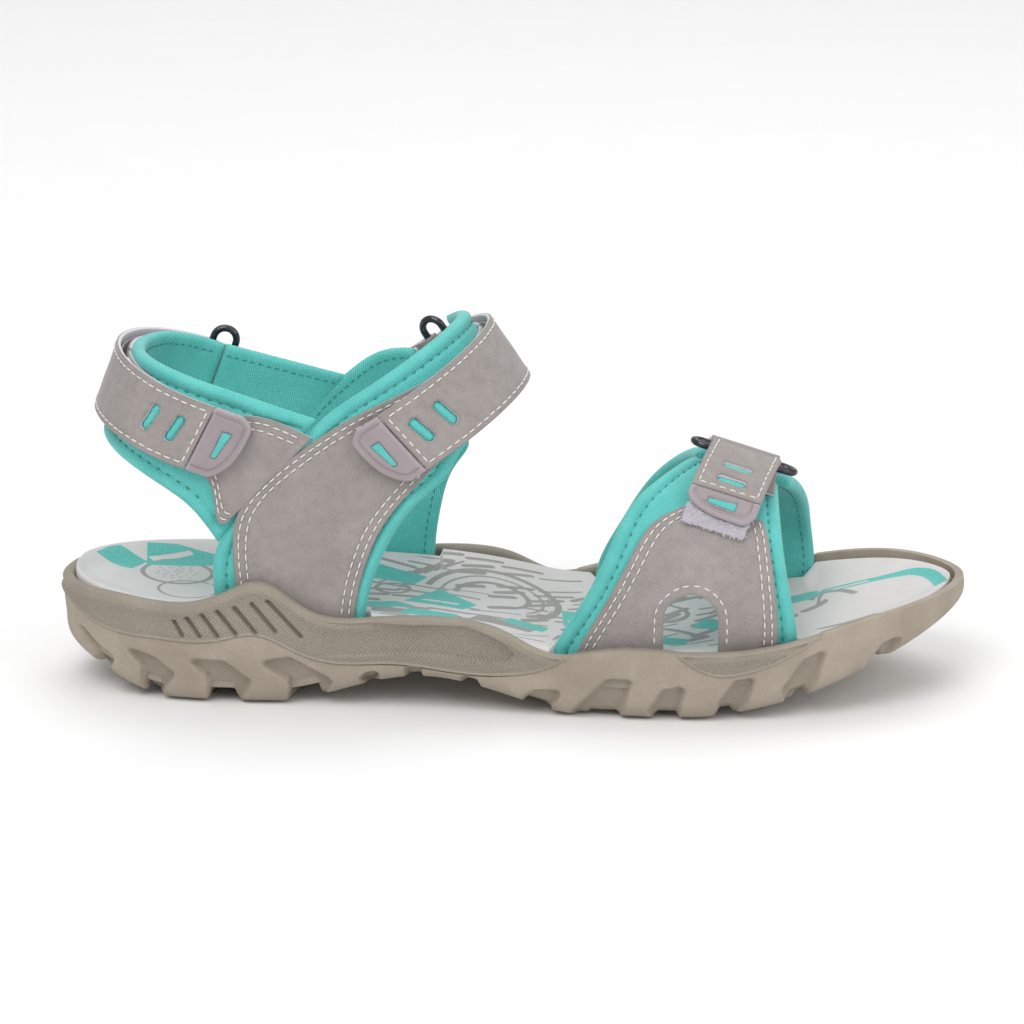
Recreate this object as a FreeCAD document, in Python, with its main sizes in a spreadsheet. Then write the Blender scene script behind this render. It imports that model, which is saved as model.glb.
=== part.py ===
"""A strappy sport sandal for the right foot, as the separate pieces that it is sewn and glued from.

Millimetres. +X runs to the toe, +Y to the big-toe side, +Z up. The origin is on the ground, under the
middle of the sandal. Three hook-and-loop straps (heel, instep, forefoot) each run through an oval ring.
"""

import FreeCAD, Part
import math
import os
import Sketcher

from FreeCAD import Matrix, Placement, Rotation, Vector

DIMENSIONS = [
    ("sole_length", 267.5, "heel to toe"),
    ("sole_half_width", 47.5, "half the width at the ball of the foot"),
    ("rim_wall", 3.5, "thickness of the midsole rim around the footbed"),
    ("footbed_thickness", 6.0, "moulded foam footbed"),
    ("cover_thickness", 0.8, "printed textile over the footbed"),
    ("board_thickness", 1.4, "lasting board under the footbed"),
    ("outsole_thickness", 4.5, "rubber under the midsole core"),
    ("outsole_wall", 2.2, "rubber wrapped up the side of the core"),
    ("tread_channel_width", 5.0, "gap between two tread lugs"),
    ("tread_channel_depth", 3.6, "height of a tread lug"),
    ("tread_channel_sweep", 14.0, "degrees, how far a channel is swept back"),
    ("glue_gap", 0.1, "thickness of a glue line"),
    ("shank_length", 74.0, "stiffener in the arch"),
    ("shank_width", 16.0, "stiffener in the arch"),
    ("shank_thickness", 1.2, "stiffener in the arch"),
    ("side_half_width", 31.3, "centre line to the lining's outer face, rear upper"),
    ("instep_x", -34.0, "centre of the instep curve"),
    ("instep_z", 78.0, "centre of the instep curve"),
    ("instep_rise", 34.0, "degrees, how steeply the instep strap climbs"),
    ("instep_reach", 35.7, "centre of the instep curve to its ridge"),
    ("heel_x", -91.9, "centre of the heel curve"),
    ("heel_z", 83.1, "centre of the heel curve"),
    ("heel_drop", 20.0, "degrees, how steeply the heel strap falls to the front"),
    ("heel_reach", 25.7, "centre of the heel curve to its back"),
    ("toe_x", 58.0, "centre of the forefoot curve"),
    ("toe_z", 36.0, "centre of the forefoot curve"),
    ("toe_lean", 17.6, "degrees, how far the forefoot loop leans to the toe"),
    ("toe_reach", 31.0, "centre of the forefoot curve to its top"),
    ("toe_half_width", 42.0, "centre line to the lining's outer face, forefoot"),
    ("lining_thickness", 3.6, "padded textile lining"),
    ("leather_thickness", 1.4, "synthetic nubuck"),
    ("hook_thickness", 0.7, "hook tape and loop tape"),
    ("strap_lift", 3.0, "lining's outer face to the inner face of a closed strap"),
    ("strap_width", 21.5, "instep and forefoot straps"),
    ("heel_strap_width", 21.0, "heel strap"),
    ("slot_length", 9.0, "cut-out in a strap"),
    ("slot_width", 2.6, "cut-out in a strap"),
    ("tab_thickness", 1.7, "moulded pull tab"),
    ("ring_wire", 2.2, "diameter of the ring's wire"),
    ("ring_pitch", 7.0, "one bar of a ring to the other"),
    ("ring_clearance", 1.5, "strap's edge to the start of the ring's bend"),
    ("bar_lift", 2.6, "lining's outer face to a ring's bars"),
    ("bar_clearance", 0.15, "ring's wire to the leather folded round it"),
    ("anchor_length", 13.0, "ring's bar to the sewn end of its anchor"),
]

doc = FreeCAD.newDocument("sport_sandal")
sheet = doc.addObject("Spreadsheet::Sheet", "Dimensions")
for row, (alias, value, note) in enumerate(DIMENSIONS, 1):
    sheet.set(f"A{row}", note)
    sheet.set(f"B{row}", str(value))
    sheet.setAlias(f"B{row}", alias)
doc.recompute()


def size(alias):
    """A driving dimension, read from the sheet."""
    return float(sheet.get(alias))


def cell(alias):
    """The expression that binds a property to a driving dimension."""
    return f"Dimensions.{alias}"


# ---------------------------------------------------------------- helpers that make document objects

pieces = []
TALL = 160.0
WIDE = 140.0


def keep(obj, label):
    """Names a finished piece, which is then written to a file of that name."""
    obj.Label = label
    pieces.append(obj)
    return obj


def feature(name, shape):
    obj = doc.addObject("Part::Feature", name)
    obj.Shape = shape
    return obj


def extruded(name, base, direction, length):
    obj = doc.addObject("Part::Extrusion", name)
    obj.Base = base
    obj.DirMode = "Custom"
    obj.Dir = direction
    obj.LengthFwd = length
    obj.Solid = True
    return obj


def common(name, first, second):
    obj = doc.addObject("Part::Common", name)
    obj.Base, obj.Tool = first, second
    obj.Refine = False
    return obj


def cut(name, base, tool):
    obj = doc.addObject("Part::Cut", name)
    obj.Base, obj.Tool = base, tool
    obj.Refine = False
    return obj


def fused(name, shapes):
    obj = doc.addObject("Part::MultiFuse", name)
    obj.Shapes = shapes
    obj.Refine = False
    return obj


def origin_plane(body, role):
    return next(f for f in body.Origin.OriginFeatures if f.Role == role)


def sketch_on(body, role, name):
    sketch = body.newObject("Sketcher::SketchObject", name)
    sketch.AttachmentSupport = [(origin_plane(body, role), "")]
    sketch.MapMode = "FlatFace"
    return sketch


def spline(points, periodic=False):
    curve = Part.BSplineCurve()
    curve.interpolate(Points=points, PeriodicFlag=periodic)
    return curve


# ---------------------------------------------------------------- sole: outline and side profiles

# Half outlines, heel to toe: (share of the length, share of the half width).
OUTER_SIDE = [(0.022, 0.36), (0.085, 0.64), (0.17, 0.755), (0.28, 0.765), (0.39, 0.785), (0.50, 0.88),
              (0.61, 0.975), (0.70, 1.0), (0.79, 0.93), (0.87, 0.765), (0.94, 0.50), (0.985, 0.17)]
INNER_SIDE = [(0.022, 0.36), (0.085, 0.64), (0.17, 0.755), (0.28, 0.765), (0.39, 0.775), (0.50, 0.83),
              (0.60, 0.945), (0.69, 1.0), (0.78, 0.97), (0.87, 0.86), (0.94, 0.70), (0.985, 0.44)]
HEEL_END, TOE_END = (0.0, 0.0), (1.0, 0.24)

# Side profiles: (share of the length, height in mm).
RIM = [(-0.03, 31), (0.0, 31.5), (0.06, 32.5), (0.11, 32), (0.15, 33), (0.18, 36), (0.207, 38.2),
       (0.235, 36), (0.263, 31), (0.293, 28.3), (0.35, 28.5), (0.41, 29.5), (0.463, 28.8), (0.50, 26),
       (0.53, 21.8), (0.556, 20), (0.582, 20.8), (0.62, 22.6), (0.68, 22.4), (0.75, 22.2), (0.82, 24.6),
       (0.87, 27.5), (0.93, 30), (1.03, 31)]
PARTING = [(-0.03, 28), (0.0, 27), (0.04, 22), (0.107, 20), (0.18, 20.3), (0.226, 22.2), (0.263, 17.5),
           (0.296, 14.1), (0.374, 13.8), (0.452, 11.8), (0.507, 12.4), (0.552, 16.4), (0.58, 22),
           (0.605, 27), (0.65, 29), (0.685, 22), (0.72, 15.2), (0.755, 14.6), (0.80, 18.5), (0.84, 25),
           (0.88, 32), (1.03, 36)]
FOOTBED_TOP = [(-0.03, 31.5), (0.04, 30), (0.11, 28.5), (0.26, 27.2), (0.39, 26), (0.50, 22.6),
               (0.56, 19.4), (0.65, 18.4), (0.72, 18.5), (0.81, 21), (0.91, 25.6), (1.03, 29.5)]
POCKET_FLOOR = [(-0.03, 23.4), (0.04, 21.8), (0.11, 20.3), (0.26, 19), (0.39, 17.8), (0.50, 14.4),
                (0.56, 11.2), (0.65, 10.2), (0.72, 10.4), (0.81, 13.4), (0.88, 18), (0.94, 22.6), (1.03, 27.6)]
# The underside: three curved stretches with a flat one under the heel and one under the ball.
HEEL_RISE = [(-0.03, 14.5), (0.03, 8), (0.075, 2.5), (0.115, 0)]
ARCH = [(0.25, 0), (0.30, 3), (0.36, 8), (0.41, 9.8), (0.46, 8), (0.51, 4), (0.565, 0)]
TOE_RISE = [(0.71, 0), (0.775, 2.4), (0.82, 5), (0.865, 9), (0.91, 14), (0.96, 19.6), (1.03, 27)]


def along(share):
    """X of a point given as a share of the sole's length."""
    return (share - 0.5) * size("sole_length")


def outline_points(inset):
    """The sole's outline, moved inwards by inset."""
    half = size("sole_half_width")
    outer = [(along(f), -g * half) for f, g in OUTER_SIDE]
    inner = [(along(f), g * half) for f, g in reversed(INNER_SIDE)]
    heel = [(along(HEEL_END[0]), HEEL_END[1] * half)]
    toe = [(along(TOE_END[0]), TOE_END[1] * half)]
    ring = [Vector(x, y, 0) for x, y in heel + outer + toe + inner]
    moved = []
    for i, point in enumerate(ring):
        tangent = ring[(i + 1) % len(ring)] - ring[i - 1]
        moved.append(point + Vector(-tangent.y, tangent.x, 0).normalize() * inset)
    return moved


def outline(name, inset, height):
    edge = spline(outline_points(inset), periodic=True).toShape()
    wire = Part.Wire([edge])
    wire.translate(Vector(0, 0, height))
    return feature(name, wire)


def prism(name, inset):
    """The sole's outline as an upright solid."""
    face = Part.Face(Part.Wire([spline(outline_points(inset), periodic=True).toShape()]))
    return extruded(name, feature(name + "_face", face), Vector(0, 0, 1), TALL)


def profile_curve(points, lift=0.0):
    return spline([Vector(along(f), 0, z + lift) for f, z in points]).toShape()


def side_slab(name, lower, upper):
    """Everything between two side profiles, right across the sandal. Each is a list of edges."""
    a, b = lower[0].firstVertex().Point, lower[-1].lastVertex().Point
    c, d = upper[0].firstVertex().Point, upper[-1].lastVertex().Point
    wire = Part.Wire(lower + [Part.LineSegment(b, d).toShape()] + upper[::-1]
                     + [Part.LineSegment(c, a).toShape()])
    face = Part.Face(wire)
    face.translate(Vector(0, -WIDE / 2, 0))
    return extruded(name, feature(name + "_face", face), Vector(0, 1, 0), WIDE)


def level(height):
    """A straight side profile, well clear of everything."""
    ends = [Vector(along(-0.03), 0, height), Vector(along(1.03), 0, height)]
    return [Part.LineSegment(*ends).toShape()]


def underside(lift=0.0):
    """The side profile of the tread, with flats under the heel and the ball."""
    heel, arch, toe = (profile_curve(p, lift) for p in (HEEL_RISE, ARCH, TOE_RISE))
    flats = [Part.LineSegment(one.lastVertex().Point, two.firstVertex().Point).toShape()
             for one, two in ((heel, arch), (arch, toe))]
    return [heel, flats[0], arch, flats[1], toe]


def sole_unit():
    """The moulded block, split into midsole and outsole, with the pocket that the footbed lies in."""
    widths = [outline("outline_ground", 5.0, -1.0), outline("outline_bulge", 0.0, 14.0),
              outline("outline_rim", 1.0, 48.0)]
    walls = doc.addObject("Part::Loft", "walls")
    walls.Sections = widths
    walls.Solid = True
    block = common("block", walls, side_slab("block_side", underside(), [profile_curve(RIM)]))

    pocket = common("pocket", prism("pocket_outline", size("rim_wall")),
                    side_slab("pocket_side", [profile_curve(POCKET_FLOOR)], level(TALL)))
    hollow = cut("hollow_block", block, pocket)

    core = common("core", prism("core_outline", size("outsole_wall")),
                  side_slab("core_side", underside(size("outsole_thickness")), level(TALL)))
    above = side_slab("above_parting", [profile_curve(PARTING)], level(TALL))
    upper_zone = fused("midsole_zone", [core, above])
    midsole = common("midsole_solid", hollow, upper_zone)
    outsole = cut("outsole_solid", hollow, upper_zone)
    return midsole, outsole


CHANNELS = [0.045, 0.145, 0.227, 0.309, 0.382, 0.433, 0.496, 0.5785, 0.653, 0.72, 0.795, 0.867, 0.938]


def underside_height(share):
    """Height of the tread's side profile at a share of the length."""
    x = along(share)
    upright = Part.LineSegment(Vector(x, 0, -TALL), Vector(x, 0, TALL)).toShape()
    return min(edge.distToShape(upright) for edge in underside())[1][0][0].z


def tread_channels():
    """Slanted channels right across the outsole, which leave the lugs between them."""
    boxes = []
    width, depth = size("tread_channel_width"), size("tread_channel_depth")
    below = 12.0
    for index, share in enumerate(CHANNELS):
        for side in (-1, 1):
            box = doc.addObject("Part::Box", f"channel_{index}_{'outer' if side < 0 else 'inner'}")
            box.setExpression("Length", cell("tread_channel_width"))
            box.setExpression("Width", cell("sole_half_width") + " + 10")
            box.Height = depth + below
            sweep = side * size("tread_channel_sweep")
            turn = Rotation(Vector(0, 0, 1), sweep if side > 0 else 180 + sweep)
            corner = turn.multVec(Vector(-width / 2, -0.5, 0))
            base = Vector(along(share), 0, underside_height(share) - below) + corner
            box.Placement = Placement(base, turn)
            boxes.append(box)
    return fused("channels", boxes)


def shank():
    """A flat stiffener, let into the midsole under the arch."""
    body = doc.addObject("PartDesign::Body", "shank_body")
    sketch = sketch_on(body, "XY_Plane", "shank_outline")
    half_long, half_wide = size("shank_length") / 2, size("shank_width") / 2
    straight = half_long - half_wide
    sketch.addGeometry([
        Part.LineSegment(Vector(-straight, -half_wide, 0), Vector(straight, -half_wide, 0)),
        Part.ArcOfCircle(Part.Circle(Vector(straight, 0, 0), Vector(0, 0, 1), half_wide),
                         -math.pi / 2, math.pi / 2),
        Part.LineSegment(Vector(straight, half_wide, 0), Vector(-straight, half_wide, 0)),
        Part.ArcOfCircle(Part.Circle(Vector(-straight, 0, 0), Vector(0, 0, 1), half_wide),
                         math.pi / 2, 3 * math.pi / 2),
    ], False)
    pad = body.newObject("PartDesign::Pad", "shank_pad")
    pad.Profile = sketch
    pad.setExpression("Length", cell("shank_thickness"))
    body.Placement = Placement(Vector(-44, 0, 15.2), Rotation(Vector(0, 1, 0), 3.0))
    return body


def shank_pocket():
    """The hollow that the shank lies in, a glue line larger all round."""
    gap = size("glue_gap")
    box = doc.addObject("Part::Box", "shank_pocket")
    box.setExpression("Length", cell("shank_length") + " + 2 * " + cell("glue_gap"))
    box.setExpression("Width", cell("shank_width") + " + 2 * " + cell("glue_gap"))
    box.setExpression("Height", cell("shank_thickness") + " + 2 * " + cell("glue_gap"))
    turn = Rotation(Vector(0, 1, 0), 3.0)
    corner = Vector(-size("shank_length") / 2 - gap, -size("shank_width") / 2 - gap, -gap)
    box.Placement = Placement(Vector(-44, 0, 15.2) + turn.multVec(corner), turn)
    return box


def sole_pieces():
    midsole, outsole = sole_unit()
    keep(cut("midsole_body", midsole, shank_pocket()), "midsole")
    keep(cut("outsole_body", outsole, tread_channels()), "outsole")
    keep(shank(), "arch_shank")


# ---------------------------------------------------------------- loops: the paths round the foot

class Loop:
    """A path up the outer side of the foot, over half an ellipse, and down the inner side.

    a runs along the path and is 0 where the outer flat side ends and `length` where the inner one
    starts, w runs across it, and n is the distance outwards from the lining's outer face.
    """

    def __init__(self, centre, angle, across, reach, half_width, base_half_width=None):
        rise = math.radians(angle)
        self.centre = centre
        self.along = Vector(math.cos(rise), 0, math.sin(rise))
        self.across = Vector(-math.sin(rise), 0, math.cos(rise)) * across
        self.reach = reach
        self.half_width = half_width
        self.base_half_width = base_half_width
        total = 3 * (reach + half_width) - math.sqrt((3 * reach + half_width) * (reach + 3 * half_width))
        self.length = total * math.pi / 2

    def narrowing(self, a, w, flat):
        """How far the side stands in from the loop's own width, near a sole narrower than the loop."""
        if self.base_half_width is None:
            return 0.0
        x = (self.centre + self.along * flat + self.across * w).x
        share = min(max((flat + 25) / 35, 0), 1)
        share = share * share * (3 - 2 * share)
        return (self.half_width - self.base_half_width(x)) * (1 - share)

    def at(self, a, w, n=0.0):
        turn = math.pi * min(max(a, 0), self.length) / self.length
        forward = min(a, self.length - a, 0.0)
        side = -math.cos(turn)
        normal = Vector(self.half_width * math.sin(turn), self.reach * side, 0).normalize()
        out = self.along * (self.reach * math.sin(turn) + forward + n * normal.x) + self.across * w
        spread = self.half_width * side + n * normal.y
        if abs(a - self.length / 2) > self.length / 4:
            spread -= math.copysign(self.narrowing(a, w, self.forward_of(a)), side)
        return self.centre + out + Vector(0, spread, 0)

    def forward_of(self, a):
        """Distance up the loop from its centre, as seen from the side."""
        turn = math.pi * min(max(a, 0), self.length) / self.length
        return self.reach * math.sin(turn) + min(a, self.length - a, 0.0)

    def frame(self, a, w=0.0, n=0.0):
        """A frame with X along the path and Z outwards."""
        step = 0.01
        x_axis = (self.at(a + step, w, n) - self.at(a - step, w, n)).normalize()
        z_axis = (self.at(a, w, n + 1) - self.at(a, w, n)).normalize()
        y_axis = z_axis.cross(x_axis)
        return Placement(self.at(a, w, n), Rotation(x_axis, y_axis, z_axis, "XYZ"))

    def outer(self, x, z):
        """Path coordinates of a point of the outer side, given as seen from the side."""
        offset = Vector(x, 0, z) - self.centre
        up = offset.dot(self.along)
        a = up if up < 0 else math.asin(up / self.reach) * self.length / math.pi
        return a, offset.dot(self.across)

    def inner(self, x, z):
        """Path coordinates of a point of the inner side, given as seen from the side."""
        a, w = self.outer(x, z)
        return self.length - a, w


def forefoot_base(x):
    """Half width of the forefoot lining where it meets the sole."""
    return 41.1 - 5.5 * ((x - 45.5) / 35) ** 2


INSTEP = Loop(Vector(size("instep_x"), 0, size("instep_z")), size("instep_rise"), 1,
              size("instep_reach"), size("side_half_width"))
HEEL = Loop(Vector(size("heel_x"), 0, size("heel_z")), 180 - size("heel_drop"), -1,
            size("heel_reach"), size("side_half_width"))
FOREFOOT = Loop(Vector(size("toe_x"), 0, size("toe_z")), 90 - size("toe_lean"), -1,
                size("toe_reach"), size("toe_half_width"), forefoot_base)

# Layers, as distances outwards from the lining's outer face.
GAP = size("glue_gap")
LEATHER = (GAP, GAP + size("leather_thickness"))
LOOP_TAPE = (LEATHER[1] + GAP, LEATHER[1] + GAP + 1.0)
STRAP_IN = size("bar_lift") + size("ring_wire") / 2 + 0.3
STRAP = (STRAP_IN, STRAP_IN + size("leather_thickness"))
BACKING = (STRAP_IN - 0.5, STRAP_IN - 0.1)
HOOK_TAPE = (STRAP_IN - 1.1, STRAP_IN - 0.6)
TAB_HOOKS = (STRAP_IN - 0.7, STRAP_IN - 0.1)


def edge_curve(points):
    curve = Part.BSplineCurve()
    curve.interpolate(Points=[Vector(a, w, 0) for a, w in points], Parameters=list(range(len(points))))
    return curve


def sheet_solid(inner, outer):
    """A solid between two surfaces given as grids of points."""
    surfaces = []
    for grid in (inner, outer):
        surface = Part.BSplineSurface()
        surface.interpolate(grid)
        surfaces.append(surface)
    faces = [surface.toShape() for surface in surfaces]
    u0, u1, v0, v1 = surfaces[0].bounds()
    U0, U1, V0, V1 = surfaces[1].bounds()
    rims = [(surfaces[0].uIso(u0), surfaces[1].uIso(U0)), (surfaces[0].uIso(u1), surfaces[1].uIso(U1)),
            (surfaces[0].vIso(v0), surfaces[1].vIso(V0)), (surfaces[0].vIso(v1), surfaces[1].vIso(V1))]
    faces += [Part.makeRuledSurface(low.toShape(), high.toShape(), 1) for low, high in rims]
    shell = Part.makeShell(faces)
    shell.sewShape()
    solid = Part.Solid(shell)
    if solid.Volume < 0:
        solid.reverse()
    return solid


def ribbon(name, loop, low, high, layer, rows=0, columns=5):
    """A sheet on a loop between two edges, each a list of (a, w) with the same number of points."""
    rows = rows or 6 * (len(low) - 1) + 1
    low_edge, high_edge = edge_curve(low), edge_curve(high)
    grids = []
    for n in layer:
        grid = []
        for row in range(rows):
            share = row / (rows - 1) * (len(low) - 1)
            start, end = low_edge.value(share), high_edge.value(share)
            steps = [start + (end - start) * (column / (columns - 1)) for column in range(columns)]
            grid.append([loop.at(p.x, p.y, n) for p in steps])
        grids.append(grid)
    return feature(name, sheet_solid(*grids))


def band(name, loop, start, end, low, high, layer):
    """A straight ribbon with square ends."""
    rows = max(5, int((end - start) / 2.5))
    return ribbon(name, loop, [(start, low), (end, low)], [(start, high), (end, high)], layer, rows)


# ---------------------------------------------------------------- linings and panels

LINING = (-size("lining_thickness"), 0.0)


def both(loop, side, pairs):
    """Splits pairs of points into two edges. Points on a flat side are given as ("xz", x, z)."""
    edges = ([], [])
    for pair in pairs:
        for edge, point in zip(edges, pair):
            if point[0] == "xz":
                point = getattr(loop, side)(point[1], point[2])
            edge.append(point)
    return edges


def mirrored(loop, pairs):
    """The same pairs of path points, measured down the inner side instead of the outer one."""
    return [[(loop.length - a, w) for a, w in pair] for pair in pairs]


OUTER_QUARTER = [
    (("xz", -42.5, 22), ("xz", -88, 22)), (("xz", -41.5, 31), ("xz", -89.6, 34)),
    (("xz", -38.3, 42), ("xz", -89, 47)), (("xz", -32.3, 54), ("xz", -76, 62)),
    (("xz", -25.5, 62.5), ("xz", -65.5, 74)), (("xz", -17.5, 70), ("xz", -55, 86)),
    ((17, -12), (2, 19.6)), ((29, -10.8), (22, 19.8)), ((48, -10), (48, 19.4)), ((74, -10), (74, 17)),
]
OUTER_QUARTER_PANEL = [
    (("xz", -45.5, 23.5), ("xz", -79, 23.5)), (("xz", -44.2, 34), ("xz", -81.2, 40)),
    (("xz", -41, 45.4), ("xz", -82, 54)), (("xz", -35, 57.5), ("xz", -74, 66.6)),
    (("xz", -25, 69.2), ("xz", -55, 81.7)), ((16, -9), (4, 15.4)), ((33, -8), (26, 15.6)),
    ((57.5, -8), (57.5, 15.6)),
]
REAR_PANEL_SEAM = [("xz", -82.7, 55.6), ("xz", -75, 67.3), ("xz", -57, 81.6)]
REAR_PANEL_END = [(40, -10.5), (40, 0), (40, 10.5)]
HEEL_PAD = [
    ((-13.9, -32.8), (-32.5, 15.5)), ((-6.3, -23.4), (-15, 15)), ((8, -19), (6, 14.5)),
    ((25, -18), (25, 13)), ((45, -18), (45, 11.5)), ((64, -17), (64, 12)), ((81.5, -14), (81.5, 12)),
]
INNER_QUARTER = [
    (("xz", -25, 22), ("xz", -82, 22)), (("xz", -24.5, 34), ("xz", -82.5, 36)),
    (("xz", -22.5, 46), ("xz", -82, 46)), (("xz", -19, 56), ("xz", -73, 59.5)),
    (("xz", -14, 64), ("xz", -65, 71.5)), ((97, -17.5), ("xz", -55, 82.5)), ((95.6, -15), (105, 16.5)),
    ((93.8, -12), (93.8, 15)),
]
INNER_QUARTER_PANEL = [
    (("xz", -30, 23.5), ("xz", -77, 23.5)), (("xz", -29.5, 36), ("xz", -77.5, 38)),
    (("xz", -27, 48), ("xz", -75.5, 50)), (("xz", -23, 58), ("xz", -67, 61)),
    (("xz", -18, 66), ("xz", -58, 71.5)), ((97, -13), (108, 11.5)), ((94.2, -9), (94.2, 11)),
]
INNER_COLLAR = [((95.4, -14), (95.4, 12)), ((103, -21), (109, 13.5)), ((110.9, -31.5), (122.2, 15.8))]
INNER_REAR_PANEL = [((95.9, -11), (95.9, 9.5)), ((104, -16.5), (109, 9.8)), ((111.5, -25), (120.5, 10.5))]
OUTER_FOREFOOT = [
    ((-35.2, -35), (-11.5, 31.2)), ((-28.5, -37), (-7, 30.6)), ((-6, -32.6), (3, 27)), ((19.9, -30), (21, 19.6)),
    ((37.7, -23), (40, 14.6)), ((55.5, -14), (55.5, 13)),
]
OUTER_FOREFOOT_PANEL = [
    ((-33.5, -29.5), (-13.5, 26.3)), ((-26, -30.5), (-9, 25.4)), ((-5, -26.5), (3, 21.5)), ((16, -23), (18, 15.8)),
    ((26, -16.5), (26, 12.8)), ((32, -11), (32, 10)),
]
INNER_FOREFOOT = [
    ((-32.2, -25.5), (-9, 36.9)), ((-20, -27.5), (-4.5, 36.3)), ((-5, -24.5), (3, 34.6)), ((12, -20.7), (15, 30.5)),
    ((30, -15.5), (30, 25.5)), ((46.4, -12), (46.4, 17.5)),
]
INNER_FOREFOOT_PANEL = [
    ((-31, -20), (-11, 31.4)), ((-18, -21.5), (-6, 30.8)), ((-4, -18.5), (3, 28.6)), ((12, -15), (15, 24.6)),
    ((30, -11.5), (28, 19.5)), ((46, -9), (46, 13)),
]


def arch_cutter():
    """The opening in the outer side of the forefoot, open at the sole."""
    radius, top, middle = 8.0, 38.3, 54.0
    left, right, spring = middle - radius, middle + radius, top - radius
    arch = Part.Arc(Vector(right, 0, spring), Vector(middle, 0, top), Vector(left, 0, spring))
    edges = [Part.LineSegment(Vector(left, 0, 0), Vector(right, 0, 0)),
             Part.LineSegment(Vector(right, 0, 0), Vector(right, 0, spring)), arch,
             Part.LineSegment(Vector(left, 0, spring), Vector(left, 0, 0))]
    face = Part.Face(Part.Wire([edge.toShape() for edge in edges]))
    return extruded("opening", feature("opening_outline", face), Vector(0, -1, 0), WIDE / 2)


def upper_pieces():
    def piece(label, loop, side, pairs, layer):
        low, high = both(loop, side, pairs)
        return keep(ribbon(label + "_body", loop, low, high, layer), label)

    piece("lateral_quarter_lining", INSTEP, "outer", OUTER_QUARTER, LINING)
    piece("lateral_quarter_panel", INSTEP, "outer", OUTER_QUARTER_PANEL, LEATHER)
    piece("heel_pad", HEEL, "outer", HEEL_PAD, LINING)
    seam = [HEEL.outer(x, z) for _, x, z in REAR_PANEL_SEAM]
    keep(ribbon("lateral_rear_panel_body", HEEL, seam, REAR_PANEL_END, LEATHER, 9, 31), "lateral_rear_panel")
    piece("medial_quarter_lining", INSTEP, "inner", INNER_QUARTER, LINING)
    piece("medial_quarter_panel", INSTEP, "inner", INNER_QUARTER_PANEL, LEATHER)
    piece("medial_collar_lining", HEEL, "inner", INNER_COLLAR, LINING)
    piece("medial_rear_panel", HEEL, "inner", INNER_REAR_PANEL, LEATHER)

    opening = arch_cutter()
    for label, pairs, layer in (("lateral_forefoot_lining", OUTER_FOREFOOT, LINING),
                                ("lateral_forefoot_panel", OUTER_FOREFOOT_PANEL, LEATHER)):
        whole = ribbon(label + "_whole", FOREFOOT, *both(FOREFOOT, "outer", pairs), layer, 13, 7)
        keep(cut(label + "_body", whole, opening), label)
    piece("medial_forefoot_lining", FOREFOOT, "inner", mirrored(FOREFOOT, INNER_FOREFOOT), LINING)
    piece("medial_forefoot_panel", FOREFOOT, "inner", mirrored(FOREFOOT, INNER_FOREFOOT_PANEL), LEATHER)


# ---------------------------------------------------------------- footbed, cover and board

def upper_notches():
    """Clearance for the four places where the upper goes down between the footbed and the rim."""
    band_layer = (LINING[0] - 4 * GAP, LEATHER[1] + 4)
    spans = [("outer_quarter", INSTEP, "outer", -90.5, -41), ("inner_quarter", INSTEP, "inner", -84, -23.5),
             ("outer_forefoot", FOREFOOT, "outer", 12.5, 86), ("inner_forefoot", FOREFOOT, "inner", 22.5, 92)]
    tools = []
    for name, loop, side, rear, front in spans:
        spots = [rear + (front - rear) * i / 6 for i in range(7)]
        low = [getattr(loop, side)(x, 5) for x in spots]
        high = [getattr(loop, side)(x, 40) for x in spots]
        tools.append(ribbon("notch_" + name, loop, low, high, band_layer, 25, 9))
    return fused("notches", tools)


def footbed_pieces():
    wall, inside_upper = size("rim_wall") + GAP, 11.5
    board_low = [profile_curve(POCKET_FLOOR, GAP)]
    board_high = [profile_curve(POCKET_FLOOR, GAP + size("board_thickness"))]
    foam_low = [profile_curve(POCKET_FLOOR, 2 * GAP + size("board_thickness"))]
    foam_high = [profile_curve(FOOTBED_TOP, -size("cover_thickness") - GAP)]
    cover_low = [profile_curve(FOOTBED_TOP, -size("cover_thickness"))]
    cover_high = [profile_curve(FOOTBED_TOP)]
    keep(common("board", prism("board_outline", inside_upper), side_slab("board_side", board_low, board_high)),
         "lasting_board")
    notches = upper_notches()
    for label, low, high in (("footbed", foam_low, foam_high), ("footbed_cover", cover_low, cover_high)):
        layer = common(label + "_layer", prism(label + "_outline", wall), side_slab(label + "_side", low, high))
        keep(cut(label + "_body", layer, notches), label)


# ---------------------------------------------------------------- straps, rings and tabs

def strap_profile(loop, start, bar, layer):
    """The strap's thickness, seen along its width: over the foot, then folded half round a ring's bar."""
    def over(n, reverse=False):
        steps = max(4, int((bar - start) / 4))
        points = [loop.at(start + (bar - start) * i / steps, 0, n) for i in range(steps + 1)]
        return spline(points[::-1] if reverse else points).toShape()

    centre = loop.frame(bar, 0, size("bar_lift"))

    def fold(radius, reverse=False):
        ends = [centre.multVec(Vector(math.sin(t) * radius, 0, math.cos(t) * radius))
                for t in (0, math.pi / 2, math.pi)]
        return Part.Arc(*(ends[::-1] if reverse else ends)).toShape()

    inner, outer = layer[0] - size("bar_lift"), layer[1] - size("bar_lift")
    inner_edge, outer_edge = over(layer[0]), over(layer[1], True)
    inner_fold, outer_fold = fold(inner), fold(outer, True)
    tip = Part.LineSegment(inner_fold.lastVertex(True).Point, outer_fold.firstVertex(True).Point).toShape()
    end = Part.LineSegment(outer_edge.lastVertex(True).Point, inner_edge.firstVertex(True).Point).toShape()
    return Part.Face(Part.Wire([inner_edge, inner_fold, tip, outer_fold, outer_edge, end]))


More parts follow.
